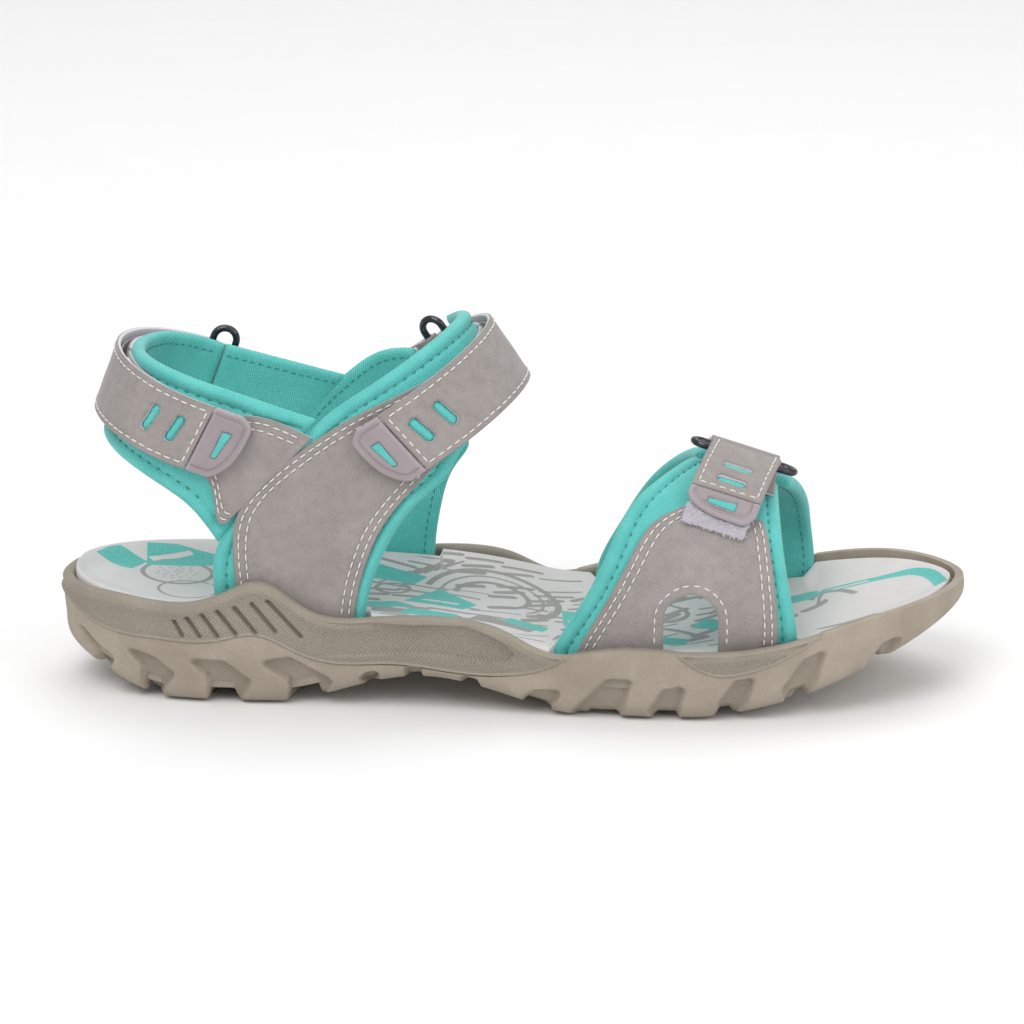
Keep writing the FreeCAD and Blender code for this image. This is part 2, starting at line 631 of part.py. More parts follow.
def stadium_cutter(name, place, length, width, depth):
    """A round-ended slot: long in the frame's Y, cut through along its Z."""
    block = doc.addObject("Part::Box", name + "_block")
    block.Length, block.Width, block.Height = width, length - width, depth
    block.Placement = place.multiply(Placement(Vector(-width / 2, -(length - width) / 2, 0), Rotation()))
    ends = [block]
    for side in (-1, 1):
        end = doc.addObject("Part::Cylinder", f"{name}_end_{'low' if side < 0 else 'high'}")
        end.Radius, end.Height = width / 2, depth
        end.Placement = place.multiply(Placement(Vector(0, side * (length - width) / 2, 0), Rotation()))
        ends.append(end)
    return fused(name, ends)


def upright(name, place, outline_2d, low, high):
    """A prism on an outline given in a frame's X and Y, between two heights of its Z."""
    face = Part.Face(Part.Wire([edge.toShape() for edge in outline_2d]))
    face.translate(Vector(0, 0, low))
    face.Placement = place.multiply(face.Placement)
    return extruded(name, feature(name + "_outline", face), place.Rotation.multVec(Vector(0, 0, 1)), high - low)


def polygon(points):
    return [Part.LineSegment(Vector(*a, 0), Vector(*b, 0)) for a, b in zip(points, points[1:] + points[:1])]


class Strap:
    """One hook-and-loop strap with its ring. Everything is placed from the loop that it runs on."""

    def __init__(self, name, loop, width, centre, base_start, bar, tab_root, tab_end, patch, slots, skew, drift=0):
        self.name, self.loop, self.width, self.centre = name, loop, width, centre
        self.drift = drift
        self.base_start, self.bar = base_start, bar
        self.tab_root, self.tab_end = tab_root, tab_end
        self.patch, self.slots, self.skew = patch, slots, skew
        self.low, self.high = centre - width / 2, centre + width / 2
        self.anchor_bar = self.one_pitch_after(bar)
        self.flip = 1 if loop.frame(0).Rotation.multVec(Vector(0, 1, 0)).dot(loop.across) > 0 else -1

    def one_pitch_after(self, bar):
        """Where the ring's second bar lies on the loop, one ring pitch in a straight line from the first."""
        first = self.loop.at(bar, 0, size("bar_lift"))
        low, high = bar, bar + 2 * size("ring_pitch")
        for _ in range(40):
            middle = (low + high) / 2
            if (self.loop.at(middle, 0, size("bar_lift")) - first).Length < size("ring_pitch"):
                low = middle
            else:
                high = middle
        return low

    def keep(self, obj, label):
        """Names a finished piece. On a strap that drifts, the piece first leans towards the heel."""
        label = self.name + "_" + label
        if self.drift:
            doc.recompute()
            lean = self.loop.across * self.drift
            start = self.loop.at(self.bar, 0, 0).y
            leaning = Matrix()
            leaning.A12, leaning.A14 = lean.x, -lean.x * start
            leaning.A32, leaning.A34 = lean.z, -lean.z * start
            obj = feature(label + "_leaning", obj.Shape.transformGeometry(leaning))
        return keep(obj, label)

    def build(self):
        self.base()
        self.strap()
        self.tab()
        self.ring()
        self.anchor()
        self.keep(band(self.name + "_loop_tape_body", self.loop, *self.patch, self.low + 1.5, self.high - 1.5,
                       LOOP_TAPE), "loop_tape")

    def base(self):
        """The fixed strap under the closed one."""
        end = self.bar - STRAP[1] + size("bar_lift") - 0.6
        keep(band(self.name + "_strap_base_body", self.loop, self.base_start, end, self.low + 0.5,
                  self.high - 0.5, LEATHER), self.name + "_strap_base")

    def across_block(self, name, face, width):
        face.translate(self.loop.across * (self.centre - width / 2))
        return extruded(name, feature(name + "_profile", face), self.loop.across, width)

    def strap(self):
        whole = self.across_block(self.name + "_strap_whole",
                                  strap_profile(self.loop, self.tab_root + 0.3, self.bar, STRAP), self.width)
        tools = []
        for index, a in enumerate(self.slots):
            place = self.loop.frame(a, self.centre, STRAP[0] - 0.6)
            tools.append(stadium_cutter(f"{self.name}_slot_{index}", place, size("slot_length"),
                                        size("slot_width"), 3.0))
        self.keep(cut(self.name + "_strap_body", whole, fused(self.name + "_slots", tools)), "strap")
        self.keep(band(self.name + "_slot_inlay_body", self.loop, self.slots[0] - 4, self.slots[-1] + 4,
                       self.centre - 7, self.centre + 7, BACKING), "slot_inlay")
        self.keep(band(self.name + "_strap_hooks_body", self.loop, self.tab_root + 1, self.bar - 12,
                       self.low + 2, self.high - 2, HOOK_TAPE), "strap_hooks")

    def tab(self):
        """The moulded pull tab: slanted, with one corner swept back, and a wedge let into its face."""
        middle = (self.tab_root + self.tab_end) / 2
        place = self.loop.frame(middle, self.centre, STRAP[0])
        root, end = self.tab_root - middle, self.tab_end - middle
        half, flip, skew = self.width / 2, self.flip, self.skew
        long_side, short_side = flip * half, -flip * half
        corner = Vector(end + 3.5, long_side, 0)
        swept = Vector(end + 3.5 + skew, short_side, 0)
        nose = [corner, Vector(end + 0.4, long_side * 0.8, 0), Vector(end, long_side * 0.45, 0),
                Vector(end + skew * 0.35, short_side * 0.25, 0), Vector(end + 1.5 + skew * 0.8, short_side * 0.8, 0),
                swept]
        shape = [Part.LineSegment(Vector(root + 3, long_side, 0), corner), spline(nose),
                 Part.LineSegment(swept, Vector(root + 3, short_side, 0)),
                 Part.LineSegment(Vector(root + 3, short_side, 0), Vector(root + 3, long_side, 0))]
        blank_layer = (STRAP[0], STRAP[0] + size("tab_thickness"))
        blank = band(self.name + "_tab_blank", self.loop, self.tab_end - 2, self.tab_root, self.low - 1,
                     self.high + 1, blank_layer)
        outlined = common(self.name + "_tab_outlined", blank,
                          upright(self.name + "_tab_nose", place, shape, -4, 6))

        wide, narrow, long = 2.6, 1.3, 10.0
        wedge = [(-wide / 2, flip * long / 2), (wide / 2, flip * long / 2),
                 (narrow / 2, -flip * long / 2), (-narrow / 2, -flip * long / 2)]
        floor = size("tab_thickness") - 0.7
        recess = upright(self.name + "_tab_recess", place,
                         polygon([(x * 1.12, y * 1.03) for x, y in wedge]), floor, 6)
        self.keep(cut(self.name + "_tab_body", outlined, recess), "tab")
        inlay = upright(self.name + "_tab_inlay_body", place, polygon(wedge), floor + 0.05, floor + 0.6)
        self.keep(inlay, "tab_inlay")
        self.keep(band(self.name + "_tab_hooks_body", self.loop, self.tab_end + 3 + self.skew / 2,
                       self.tab_root - 0.6, self.centre - 5, self.high - 2, TAB_HOOKS), "tab_hooks")

    def ring(self):
        body = doc.addObject("PartDesign::Body", self.name + "_ring_body")
        half_pitch = size("ring_pitch") / 2
        half_bar = self.width / 2 + size("ring_clearance")
        path = sketch_on(body, "XY_Plane", self.name + "_ring_path")
        path.addGeometry([
            Part.LineSegment(Vector(half_pitch, -half_bar, 0), Vector(half_pitch, half_bar, 0)),
            Part.ArcOfCircle(Part.Circle(Vector(0, half_bar, 0), Vector(0, 0, 1), half_pitch), 0, math.pi),
            Part.LineSegment(Vector(-half_pitch, half_bar, 0), Vector(-half_pitch, -half_bar, 0)),
            Part.ArcOfCircle(Part.Circle(Vector(0, -half_bar, 0), Vector(0, 0, 1), half_pitch),
                             math.pi, 2 * math.pi),
        ], False)
        section = sketch_on(body, "XZ_Plane", self.name + "_ring_section")
        section.addGeometry(Part.Circle(Vector(half_pitch, 0, 0), Vector(0, 0, 1), size("ring_wire") / 2), False)
        section.addConstraint(Sketcher.Constraint("Diameter", 0, size("ring_wire")))
        section.setExpression("Constraints[0]", cell("ring_wire"))
        pipe = body.newObject("PartDesign::AdditivePipe", self.name + "_ring_pipe")
        pipe.Profile = section
        pipe.Spine = (path, ["Edge1", "Edge2", "Edge3", "Edge4"])
        bars = [self.loop.at(a, self.centre, size("bar_lift")) for a in (self.bar, self.anchor_bar)]
        x_axis = (bars[1] - bars[0]).normalize()
        y_axis = self.loop.across * self.flip
        body.Placement = Placement((bars[0] + bars[1]) * 0.5,
                                   Rotation(x_axis, y_axis, x_axis.cross(y_axis), "XYZ"))
        keep(body, self.name + "_ring")

    def anchor(self):
        """A doubled strap end, sewn down, with the ring's other bar turning in its fold."""
        lift, wire = size("bar_lift"), size("ring_wire") / 2
        place = self.loop.frame(self.anchor_bar, self.centre, lift)
        axis = place.multiply(Placement(Vector(0, self.width / 2, 0), Rotation(Vector(1, 0, 0), 90)))
        rolls = []
        for part, radius, length in (("roll", wire + 0.3 + size("leather_thickness"), self.width),
                                     ("hole", wire + 0.3, self.width + 4)):
            roll = doc.addObject("Part::Cylinder", f"{self.name}_anchor_{part}")
            roll.Radius, roll.Height = radius, length
            shift = Placement(Vector(0, 0, -(length - self.width) / 2), Rotation())
            roll.Placement = axis.multiply(shift)
            rolls.append(roll)
        tail_layer = (LEATHER[1] + GAP, LEATHER[1] + GAP + 2 * size("leather_thickness"))
        tail = band(self.name + "_anchor_tail", self.loop, self.anchor_bar,
                    self.anchor_bar + size("anchor_length"), self.low, self.high, tail_layer)
        solid = fused(self.name + "_anchor_solid", [rolls[0], tail])
        keep(cut(self.name + "_anchor_body", solid, rolls[1]), self.name + "_ring_anchor")


STRAPS = [
    Strap("heel", HEEL, size("heel_strap_width"), 0.0, 40.6, 85.0, -2.6, -15.7, (-10, 34), (5, 12.5), 4.2),
    Strap("instep", INSTEP, size("strap_width"), 0.75, 58.0, 84.0, 3.8, -7.5, (-5, 48), (9.8, 17.2), 4.5),
    Strap("forefoot", FOREFOOT, size("strap_width"), 1.45, 44.4, 59.5, 33.7, 26, (21.5, 42.5), (39.3, 45.9),
          1.5, 0.15),
]


# ---------------------------------------------------------------- build, check and write

sole_pieces()
footbed_pieces()
upper_pieces()
for strap in STRAPS:
    strap.build()
doc.recompute()

for obj in doc.Objects:
    if "Invalid" in obj.State or "Error" in obj.State:
        raise RuntimeError(f"{obj.Name} did not compute: {obj.State}")
os.makedirs("parts", exist_ok=True)
for piece in pieces:
    solids = piece.Shape.Solids
    if piece.Shape.isNull() or not piece.Shape.isValid() or len(solids) != 1:
        raise RuntimeError(f"{piece.Label} is not one valid solid")
    piece.Shape.exportStep(f"parts/{piece.Label}.step")
    print(piece.Label, round(piece.Shape.Volume, 1))
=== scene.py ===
"""The looks of the strappy sport sandal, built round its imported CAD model.

Shapes are worked out in millimetres, in the frame of the CAD model, and stored in metres. Lateral is the
outer side of the foot (-Y) and medial the inner side (+Y). On every strap and panel, a runs along the path
round the foot, w across it, and n is the distance outwards from the lining's outer face.
"""

import math

import bmesh
import bpy
import numpy as np
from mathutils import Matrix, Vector


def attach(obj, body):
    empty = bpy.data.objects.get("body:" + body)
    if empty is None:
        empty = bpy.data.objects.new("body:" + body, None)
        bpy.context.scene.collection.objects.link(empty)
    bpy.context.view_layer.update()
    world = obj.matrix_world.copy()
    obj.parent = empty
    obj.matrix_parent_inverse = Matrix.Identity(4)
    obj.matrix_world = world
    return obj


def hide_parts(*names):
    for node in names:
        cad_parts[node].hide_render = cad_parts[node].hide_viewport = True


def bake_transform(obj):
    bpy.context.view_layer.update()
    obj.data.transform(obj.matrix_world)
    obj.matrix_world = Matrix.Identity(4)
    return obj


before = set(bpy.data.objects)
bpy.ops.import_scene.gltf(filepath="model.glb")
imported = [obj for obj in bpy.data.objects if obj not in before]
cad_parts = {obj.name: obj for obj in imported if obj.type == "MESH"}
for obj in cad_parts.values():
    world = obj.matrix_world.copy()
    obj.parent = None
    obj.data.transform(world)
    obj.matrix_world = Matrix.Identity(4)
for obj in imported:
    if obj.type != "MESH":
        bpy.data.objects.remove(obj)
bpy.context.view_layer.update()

MM = 0.001
random = np.random.default_rng(11)


# ---------------------------------------------------------------- numbers and curves

def linear(red, green, blue):
    """A screen colour, 0 to 255, as the linear colour that a shader takes."""
    return tuple(((c / 255 + 0.055) / 1.055) ** 2.4 for c in (red, green, blue)) + (1.0,)


def smoothstep(low, high, value):
    share = np.clip((value - low) / (high - low), 0, 1)
    return share * share * (3 - 2 * share)


def ridge(distance, width):
    """A smooth bump of height 1 around distance 0."""
    return np.exp(-(distance / width) ** 2)


def rounded(distance, radius):
    """The height of a quarter-round edge: 0 at the edge, 1 from radius inwards."""
    return np.sqrt(np.clip(1 - (1 - np.minimum(distance / radius, 1)) ** 2, 0, 1))


def unit(vectors):
    return vectors / np.linalg.norm(vectors, axis=-1, keepdims=True)


def distance_along(points):
    """The length of a line up to each of its points."""
    return np.concatenate([[0], np.cumsum(np.linalg.norm(np.diff(points, axis=0), axis=1))])


def spline(x, y):
    """The natural cubic through points, as a function. y may have several columns."""
    x, y = np.asarray(x, float), np.asarray(y, float)
    last = len(x) - 2
    span = np.diff(x)
    system, right = np.eye(len(x)), np.zeros(y.shape)
    for i in range(1, len(x) - 1):
        system[i, i - 1:i + 2] = span[i - 1], 2 * (span[i - 1] + span[i]), span[i]
        right[i] = 6 * ((y[i + 1] - y[i]) / span[i] - (y[i] - y[i - 1]) / span[i - 1])
    bend = np.linalg.solve(system, right)

    def value(t):
        t = np.asarray(t, float)
        k = np.clip(np.searchsorted(x, t) - 1, 0, last)
        done, whole = t - x[k], span[k]
        if y.ndim > 1:
            done, whole = done[..., None], whole[..., None]
        left = whole - done
        return ((bend[k] * left ** 3 + bend[k + 1] * done ** 3) / (6 * whole)
                + (y[k] / whole - bend[k] * whole / 6) * left
                + (y[k + 1] / whole - bend[k + 1] * whole / 6) * done)
    return value


def through(points):
    """A smooth line through points, as a function of 0 to 1."""
    curve = spline(range(len(points)), points)
    return lambda t: curve(np.asarray(t, float) * (len(points) - 1))


def polygon_distance(x, y, corners):
    """Distance to a polygon, negative inside it."""
    inside = np.zeros(np.shape(x), bool)
    nearest = np.full(np.shape(x), 1e9)
    for (ax, ay), (bx, by) in zip(corners, corners[1:] + corners[:1]):
        nearest = np.minimum(nearest, segment_distance(x, y, (ax, ay), (bx, by)))
        crosses = (ay > y) != (by > y)
        inside ^= crosses & (x < ax + (y - ay) * (bx - ax) / (by - ay + 1e-12))
    return np.where(inside, -nearest, nearest)


def segment_distance(x, y, start, end):
    ex, ey = end[0] - start[0], end[1] - start[1]
    share = np.clip(((x - start[0]) * ex + (y - start[1]) * ey) / (ex * ex + ey * ey), 0, 1)
    return np.hypot(x - start[0] - share * ex, y - start[1] - share * ey)


def stadium_distance(x, y, centre, angle, length, width):
    """Distance to a round-ended slot that points along angle, negative inside it."""
    dx, dy = math.cos(angle) * (length - width) / 2, math.sin(angle) * (length - width) / 2
    ends = ((centre[0] - dx, centre[1] - dy), (centre[0] + dx, centre[1] + dy))
    return segment_distance(x, y, *ends) - width / 2


# ---------------------------------------------------------------- meshes

def grid_faces(index):
    """Quads between the neighbours of a grid of vertex numbers."""
    return np.stack([index[:-1, :-1], index[1:, :-1], index[1:, 1:], index[:-1, 1:]], -1).reshape(-1, 4)


def tube_faces(index):
    """Quads round closed tubes, from vertex numbers by tube, ring and corner."""
    wrapped = np.concatenate([index, index[:, :, :1]], 2)
    corners = [wrapped[:, :-1, :-1], wrapped[:, 1:, :-1], wrapped[:, 1:, 1:], wrapped[:, :-1, 1:]]
    return np.stack(corners, -1).reshape(-1, 4)


def make(name, points, faces, materials, body="sandal", slot=None, stands_for=(), numbers=None,
         **attributes):
    """A smooth closed mesh from points in millimetres, riding on a body.

    numbers says which of the materials each face has, and attributes are fields on the points.
    """
    faces = np.asarray(faces)
    used, renumbered = np.unique(faces.ravel(), return_inverse=True)
    mesh = bpy.data.meshes.new(name)
    mesh.from_pydata((np.asarray(points)[used] * MM).tolist(), [], renumbered.reshape(faces.shape).tolist())
    for key, values in attributes.items():
        values = np.asarray(values, np.float32)[used]
        kind = "FLOAT" if values.ndim == 1 else "FLOAT_VECTOR"
        field = "value" if values.ndim == 1 else "vector"
        mesh.attributes.new(key, kind, "POINT").data.foreach_set(field, values.ravel())
    for material in materials:
        mesh.materials.append(material)
    if numbers is not None:
        mesh.polygons.foreach_set("material_index", np.asarray(numbers, np.int32))
    tidy = bmesh.new()
    tidy.from_mesh(mesh)
    bmesh.ops.remove_doubles(tidy, verts=tidy.verts, dist=2e-6)
    bmesh.ops.dissolve_degenerate(tidy, edges=tidy.edges, dist=1e-7)
    bmesh.ops.recalc_face_normals(tidy, faces=tidy.faces)
    for face in tidy.faces:
        face.smooth = True
    tidy.to_mesh(mesh)
    tidy.free()
    mesh.set_sharp_from_angle(angle=math.radians(50))
    piece = bpy.data.objects.new(name, mesh)
    bpy.context.scene.collection.objects.link(piece)
    if body:
        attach(piece, body)
    if stands_for:
        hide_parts(*stands_for)
    return piece


# A sheet's rows near an edge, as shares of how far its roundness reaches in, the gap that is left between
# the rows of two edges, and the share of a narrow sheet's width that the rows of one edge may take.
EDGE_ROWS = (0, 0.04, 0.15, 0.35, 0.65, 1)
MIDDLE_GAP = 0.2
MOST_OF_HALF = 0.45


def crowded(length, offsets, step):
    """Places along a length: the given distances from both ends, and steps between."""
    offsets = [o for o in offsets if o < length / 2 - MIDDLE_GAP]
    count = max(2, round((length - 2 * offsets[-1]) / step))
    middle = np.linspace(offsets[-1], length - offsets[-1], count + 1)[1:-1]
    return np.concatenate([offsets, middle, length - np.array(offsets[::-1])]) / length


def sheet(name, place, low, high, layer, materials, edge=0.4, margins=(), step=1.0, row_step=1.0,
          relief=None, hole=None, rim=0.0, **how):
    """A closed sheet between two edges, lines of (a, w), on a surface place(a, w, n).

    edge is how far its rounded edge reaches in, margins are extra lines along the edges for grooves, relief
    adds to the outer face, and hole is a distance function that is negative where the sheet is cut away.
    """
    low_line, high_line = through(low), through(high)
    probe = np.linspace(0, 1, 60)
    middle = (low_line(probe) + high_line(probe)) / 2
    length = np.hypot(*np.diff(middle, axis=0).T).sum()
    roundness = [edge * share for share in EDGE_ROWS]
    u = crowded(length, roundness, row_step)
    start, end = low_line(u), high_line(u)
    width = np.hypot(*(end - start).T)
    shape_v = crowded(width.mean(), roundness + list(margins), step)
    near = np.array(roundness + [m for m in margins if m < width.mean() / 2 - MIDDLE_GAP])
    count = len(near)
    v = np.repeat(shape_v[None], len(u), 0)
    squeeze = np.minimum(1, width * MOST_OF_HALF / near[-1])[:, None]
    v[:, :count] = near * squeeze / width[:, None]
    v[:, -count:] = 1 - v[:, :count][:, ::-1]
    inner_share = (shape_v[count:-count] - shape_v[count - 1]) / (shape_v[-count] - shape_v[count - 1])
    v[:, count:-count] = v[:, count - 1:count] + inner_share * (1 - 2 * v[:, count - 1:count])
    flat = start[:, None] + (end - start)[:, None] * v[..., None]
    across = np.minimum(v, 1 - v) * width[:, None]
    lengthways = (np.minimum(u, 1 - u) * length)[:, None]

    keep = np.ones((len(u) - 1, v.shape[1] - 1), bool)
    if hole:
        centres = (flat[:-1, :-1] + flat[1:, :-1] + flat[1:, 1:] + flat[:-1, 1:]) / 4
        keep = hole(centres[..., 0], centres[..., 1]) > 0
        touching = np.zeros(flat.shape[:2] + (2,), bool)
        for kept, mask in ((0, ~keep), (1, keep)):
            for di in (0, 1):
                for dj in (0, 1):
                    touching[di:di + mask.shape[0], dj:dj + mask.shape[1], kept] |= mask
        border = touching.all(-1)
        for _ in range(3):
            a, w = flat[border].T
            off, d = hole(a, w), 0.01
            slope = np.stack([hole(a + d, w) - off, hole(a, w + d) - off], -1) / d
            slope /= np.linalg.norm(slope, axis=-1, keepdims=True) + 1e-9
            flat[border] -= off[:, None] * slope
    a, w = flat[..., 0], flat[..., 1]
    far_away = 9.0
    cut_edge = np.maximum(hole(a, w), 0) if hole else np.full(a.shape, far_away)
    fullness = rounded(across, edge) * rounded(lengthways, edge)
    half = (layer[1] - layer[0]) / 2 * fullness
    bevel = rim * (1 - rounded(cut_edge, rim)) if hole else 0
    outer = (layer[0] + layer[1]) / 2 + half
    inner = (layer[0] + layer[1]) / 2 - half
    if relief:
        outer = outer + relief(a, w, across, lengthways) * fullness
    outer = outer - bevel
    inner = inner + bevel * 0.5
    points = np.concatenate([place(a, w, n).reshape(-1, 3) for n in (outer, inner)])
    top = np.arange(a.size).reshape(a.shape)
    bottom = top + a.size
    for line in (np.s_[0], np.s_[-1], np.s_[:, 0], np.s_[:, -1]):
        bottom[line] = top[line]
    front, back = grid_faces(top)[keep.ravel()], grid_faces(bottom)[:, ::-1][keep.ravel()]
    faces, numbers = [front, back], [np.zeros(len(front), int), np.ones(len(back), int)]
    edging = np.zeros(keep.shape, bool)
    edging[:1] = edging[-1:] = edging[:, :1] = edging[:, -1:] = True
    numbers[0][edging[keep]] = 1
    if hole:
        for di, dj in ((1, 0), (0, 1)):
            here, there = keep[:keep.shape[0] - di, :keep.shape[1] - dj], keep[di:, dj:]
            i, j = np.nonzero(here != there)
            first = (i + di, j + dj)
            second = (i + 1, j + 1)
            turned = here[i, j] ^ bool(dj)
            ends = np.where(turned[:, None], np.stack([top[second], top[first]], 1),
                            np.stack([top[first], top[second]], 1))
            unders = np.where(turned[:, None], np.stack([bottom[first], bottom[second]], 1),
                              np.stack([bottom[second], bottom[first]], 1))
            walls = np.concatenate([ends, unders], 1)
            faces.append(walls)
            numbers.append(np.ones(len(walls), int))
    path = np.stack([a, w, np.zeros(a.shape)], -1).reshape(-1, 3)
    edge_distance = np.minimum(np.minimum(across, lengthways), cut_edge).ravel()
    return make(name, points, np.concatenate(faces), materials, numbers=np.concatenate(numbers),
                path=np.tile(path, (2, 1)), rim=np.tile(edge_distance, 2), **how)


# A stitch's cross sections from end to end: place along it, height, and thickness, as shares.
STITCH_ALONG = np.array([-1, -0.72, 0, 0.72, 1])
STITCH_HEIGHT = np.array([-0.35, 0.05, 0.16, 0.05, -0.35]) / 0.42
STITCH_THICKNESS = np.array([0.18, 0.85, 1, 0.85, 0.18])
THREAD_CORNERS = 6
THREAD_FLATNESS = 0.8


def stitching(name, place, lines, material, n, pitch=2.9, thread=0.48, gap=0.6, **how):
    """Rows of stitches along lines of (a, w): each a short thread that dips in at both ends."""
    centres = []
    for line in lines:
        t = np.linspace(0, 1, 400)
        flat = through(line)(t) if len(line) > 2 else np.outer(1 - t, line[0]) + np.outer(t, line[1])
        solid = place(flat[:, 0], flat[:, 1], np.full(len(t), n))
        done = distance_along(solid)
        count = max(1, int(done[-1] / pitch))
        starts = (np.arange(count) + 0.5) * done[-1] / count
        starts += random.uniform(-0.06, 0.06, count) * pitch
        reach = (pitch - gap) / 2
        spots = starts[:, None] + STITCH_ALONG * reach
        a = np.interp(spots, done, flat[:, 0])
        w = np.interp(spots, done, flat[:, 1]) + random.uniform(-0.07, 0.07, (count, 1))
        height = n + np.broadcast_to(STITCH_HEIGHT * thread, a.shape)
        middle = place(a, w, height)
        centres.append((middle, place(a, w, height + 1) - middle))
    middle = np.concatenate([c[0] for c in centres])
    outward = unit(np.concatenate([c[1] for c in centres]))
    forward = unit(np.gradient(middle, axis=1))
    sideways = np.cross(outward, forward)
    radius = STITCH_THICKNESS * thread / 2
    turns = np.arange(THREAD_CORNERS) * 2 * math.pi / THREAD_CORNERS
    rings = (middle[:, :, None] + radius[None, :, None, None]
             * (np.cos(turns)[None, None, :, None] * sideways[:, :, None]
                + np.sin(turns)[None, None, :, None] * outward[:, :, None] * THREAD_FLATNESS))
    index = np.arange(rings[..., 0].size).reshape(rings.shape[:3])
    caps = [index[:, 0][:, corners] for corners in ([0, 1, 2, 5], [2, 3, 4, 5])]
    caps += [index[:, -1][:, corners] for corners in ([5, 2, 1, 0], [5, 4, 3, 2])]
    faces = np.concatenate([tube_faces(index)] + caps)
    return make(name, rings.reshape(-1, 3), faces, [material], **how)


# ---------------------------------------------------------------- materials

class Surface:
    """A node material with a Principled shader, and short ways to add nodes to it."""

    def __init__(self, name, roughness, **sockets):
        self.material = bpy.data.materials.new(name)
        self.material.use_nodes = True
        self.tree = self.material.node_tree
        self.shader = self.tree.nodes["Principled BSDF"]
        self.shader.inputs["Roughness"].default_value = roughness
        for key, value in sockets.items():
            self.shader.inputs[key.replace("_", " ")].default_value = value

    def add(self, kind, settings=None, **inputs):
        made = self.tree.nodes.new("ShaderNode" + kind)
        for key, value in (settings or {}).items():
            setattr(made, key, value)
        for key, value in inputs.items():
            socket = made.inputs[int(key[1:])] if key[1:].isdigit() else made.inputs[key.replace("_", " ")]
            if isinstance(value, bpy.types.NodeSocket):
                self.tree.links.new(value, socket)
            else:
                socket.default_value = value
        return made.outputs

    def place(self):
        return self.add("TexCoord")["Object"]

    def noise(self, size, detail=3.0, vector=None, stretch=None):
        """Noise with features about size millimetres across, from 0 to 1."""
        vector = vector or self.place()
        if stretch:
            vector = self.add("VectorMath", {"operation": "MULTIPLY"}, i0=vector, i1=stretch)[0]
        return self.add("TexNoise", Vector=vector, Scale=1000 / size, Detail=detail, Roughness=0.55)[0]

    def attribute(self, name):
        return self.add("Attribute", {"attribute_name": name})

    def calc(self, operation, first, second=0.0):
        return self.add("Math", {"operation": operation}, i0=first, i1=second)[0]

    def between(self, value, low, high, out_low=0.0, out_high=1.0):
        """The value as a smooth share of the way from low to high."""
        return self.add("MapRange", {"interpolation_type": "SMOOTHSTEP"}, Value=value, From_Min=low,
                        From_Max=high, To_Min=out_low, To_Max=out_high)[0]

    def mix(self, share, first, second, blend="MIX"):
        """A colour between two colours."""
        return self.add("Mix", {"data_type": "RGBA", "blend_type": blend}, i0=share, i6=first, i7=second)[2]

    def wave(self, value, pitch):
        """A sine along a value, one wave in every pitch."""
        return self.calc("SINE", self.calc("MULTIPLY", value, 2 * math.pi / pitch))

    def colour(self, socket):
        self.tree.links.new(socket, self.shader.inputs["Base Color"])

    def rough(self, socket):
        self.tree.links.new(socket, self.shader.inputs["Roughness"])

    def bump(self, *layers):
        """Bumps from (height, depth in millimetres) layers."""
        normal = None
        for height, depth in layers:
            inputs = {"Height": height, "Distance": depth * MM, "Strength": 1.0}
            if normal:
                inputs["Normal"] = normal
            normal = self.add("Bump", **inputs)[0]
        self.tree.links.new(normal, self.shader.inputs["Normal"])


def nubuck_material():
    """Brushed grey nubuck: cloudy, with a fine nap, and slightly darker within a millimetre of its edges."""
    s = Surface("nubuck", 0.82, Sheen_Weight=0.18, Sheen_Roughness=0.45, Specular_IOR_Level=0.3)
    clouds, mottle, grain = s.noise(16, 4), s.noise(3.2, 5), s.noise(0.45, 2)
    tone = s.mix(s.between(clouds, 0.2, 0.8), linear(140, 133, 130), linear(155, 148, 145))
    tone = s.mix(s.between(mottle, 0.35, 0.75, 0.0, 0.55), tone, linear(130, 124, 121))
    tone = s.mix(s.between(grain, 0.3, 0.8, 0.0, 0.35), tone, linear(180, 174, 171))
    # Darker near the sheet's edges: rim is the distance to its nearest edge, in millimetres.
    to_edge = s.attribute("rim")["Fac"]
    s.colour(s.mix(s.between(to_edge, 0.9, 0.15, 0.0, 0.35), tone, linear(128, 120, 116)))
    s.rough(s.between(mottle, 0.2, 0.8, 0.74, 0.92))
    s.bump((mottle, 0.09), (grain, 0.07))
    return s.material


def backing_material():
    """The pale lilac textile behind the nubuck, which shows at every cut edge."""
    s = Surface("nubuck_backing", 0.9, Sheen_Weight=0.2)
    grain = s.noise(0.5, 2)
    s.colour(s.mix(grain, linear(198, 192, 198), linear(226, 221, 224)))
    s.bump((grain, 0.05))
    return s.material


def textile_material(name, deep, bright):
    """Knitted stretch cloth over foam: fine slanted ribs, with painted highlight where they stand proud and
    painted shade between them.
    """
    s = Surface(name, 0.62, Sheen_Weight=0.35, Sheen_Roughness=0.35, Specular_IOR_Level=0.35)
    pitch = 0.75
    path = s.add("SeparateXYZ", Vector=s.attribute("path")["Vector"])
    slant = s.calc("ADD", path["X"], s.calc("MULTIPLY", path["Y"], 0.55))
    ribs = s.wave(slant, pitch)
    loops = s.wave(s.calc("SUBTRACT", path["Y"], s.calc("MULTIPLY", path["X"], 0.3)), pitch * 0.8)
    knit = s.calc("ADD", s.calc("MULTIPLY", ribs, 0.6), s.calc("MULTIPLY", loops, 0.4))
    clouds, fuzz = s.noise(9, 3), s.noise(0.5, 2)
    # Painted light: the raised ribs are paler and the dips between them darker.
    tone = s.mix(s.between(knit, -1, 1, 0.15, 0.85), deep, bright)
    tone = s.mix(s.between(clouds, 0.3, 0.7, 0.0, 0.35), tone, deep)
    s.colour(s.mix(s.between(fuzz, 0.4, 0.8, 0.0, 0.3), tone, bright))
    s.bump((s.between(knit, -1, 1), 0.11), (clouds, 0.25), (fuzz, 0.04))
    return s.material


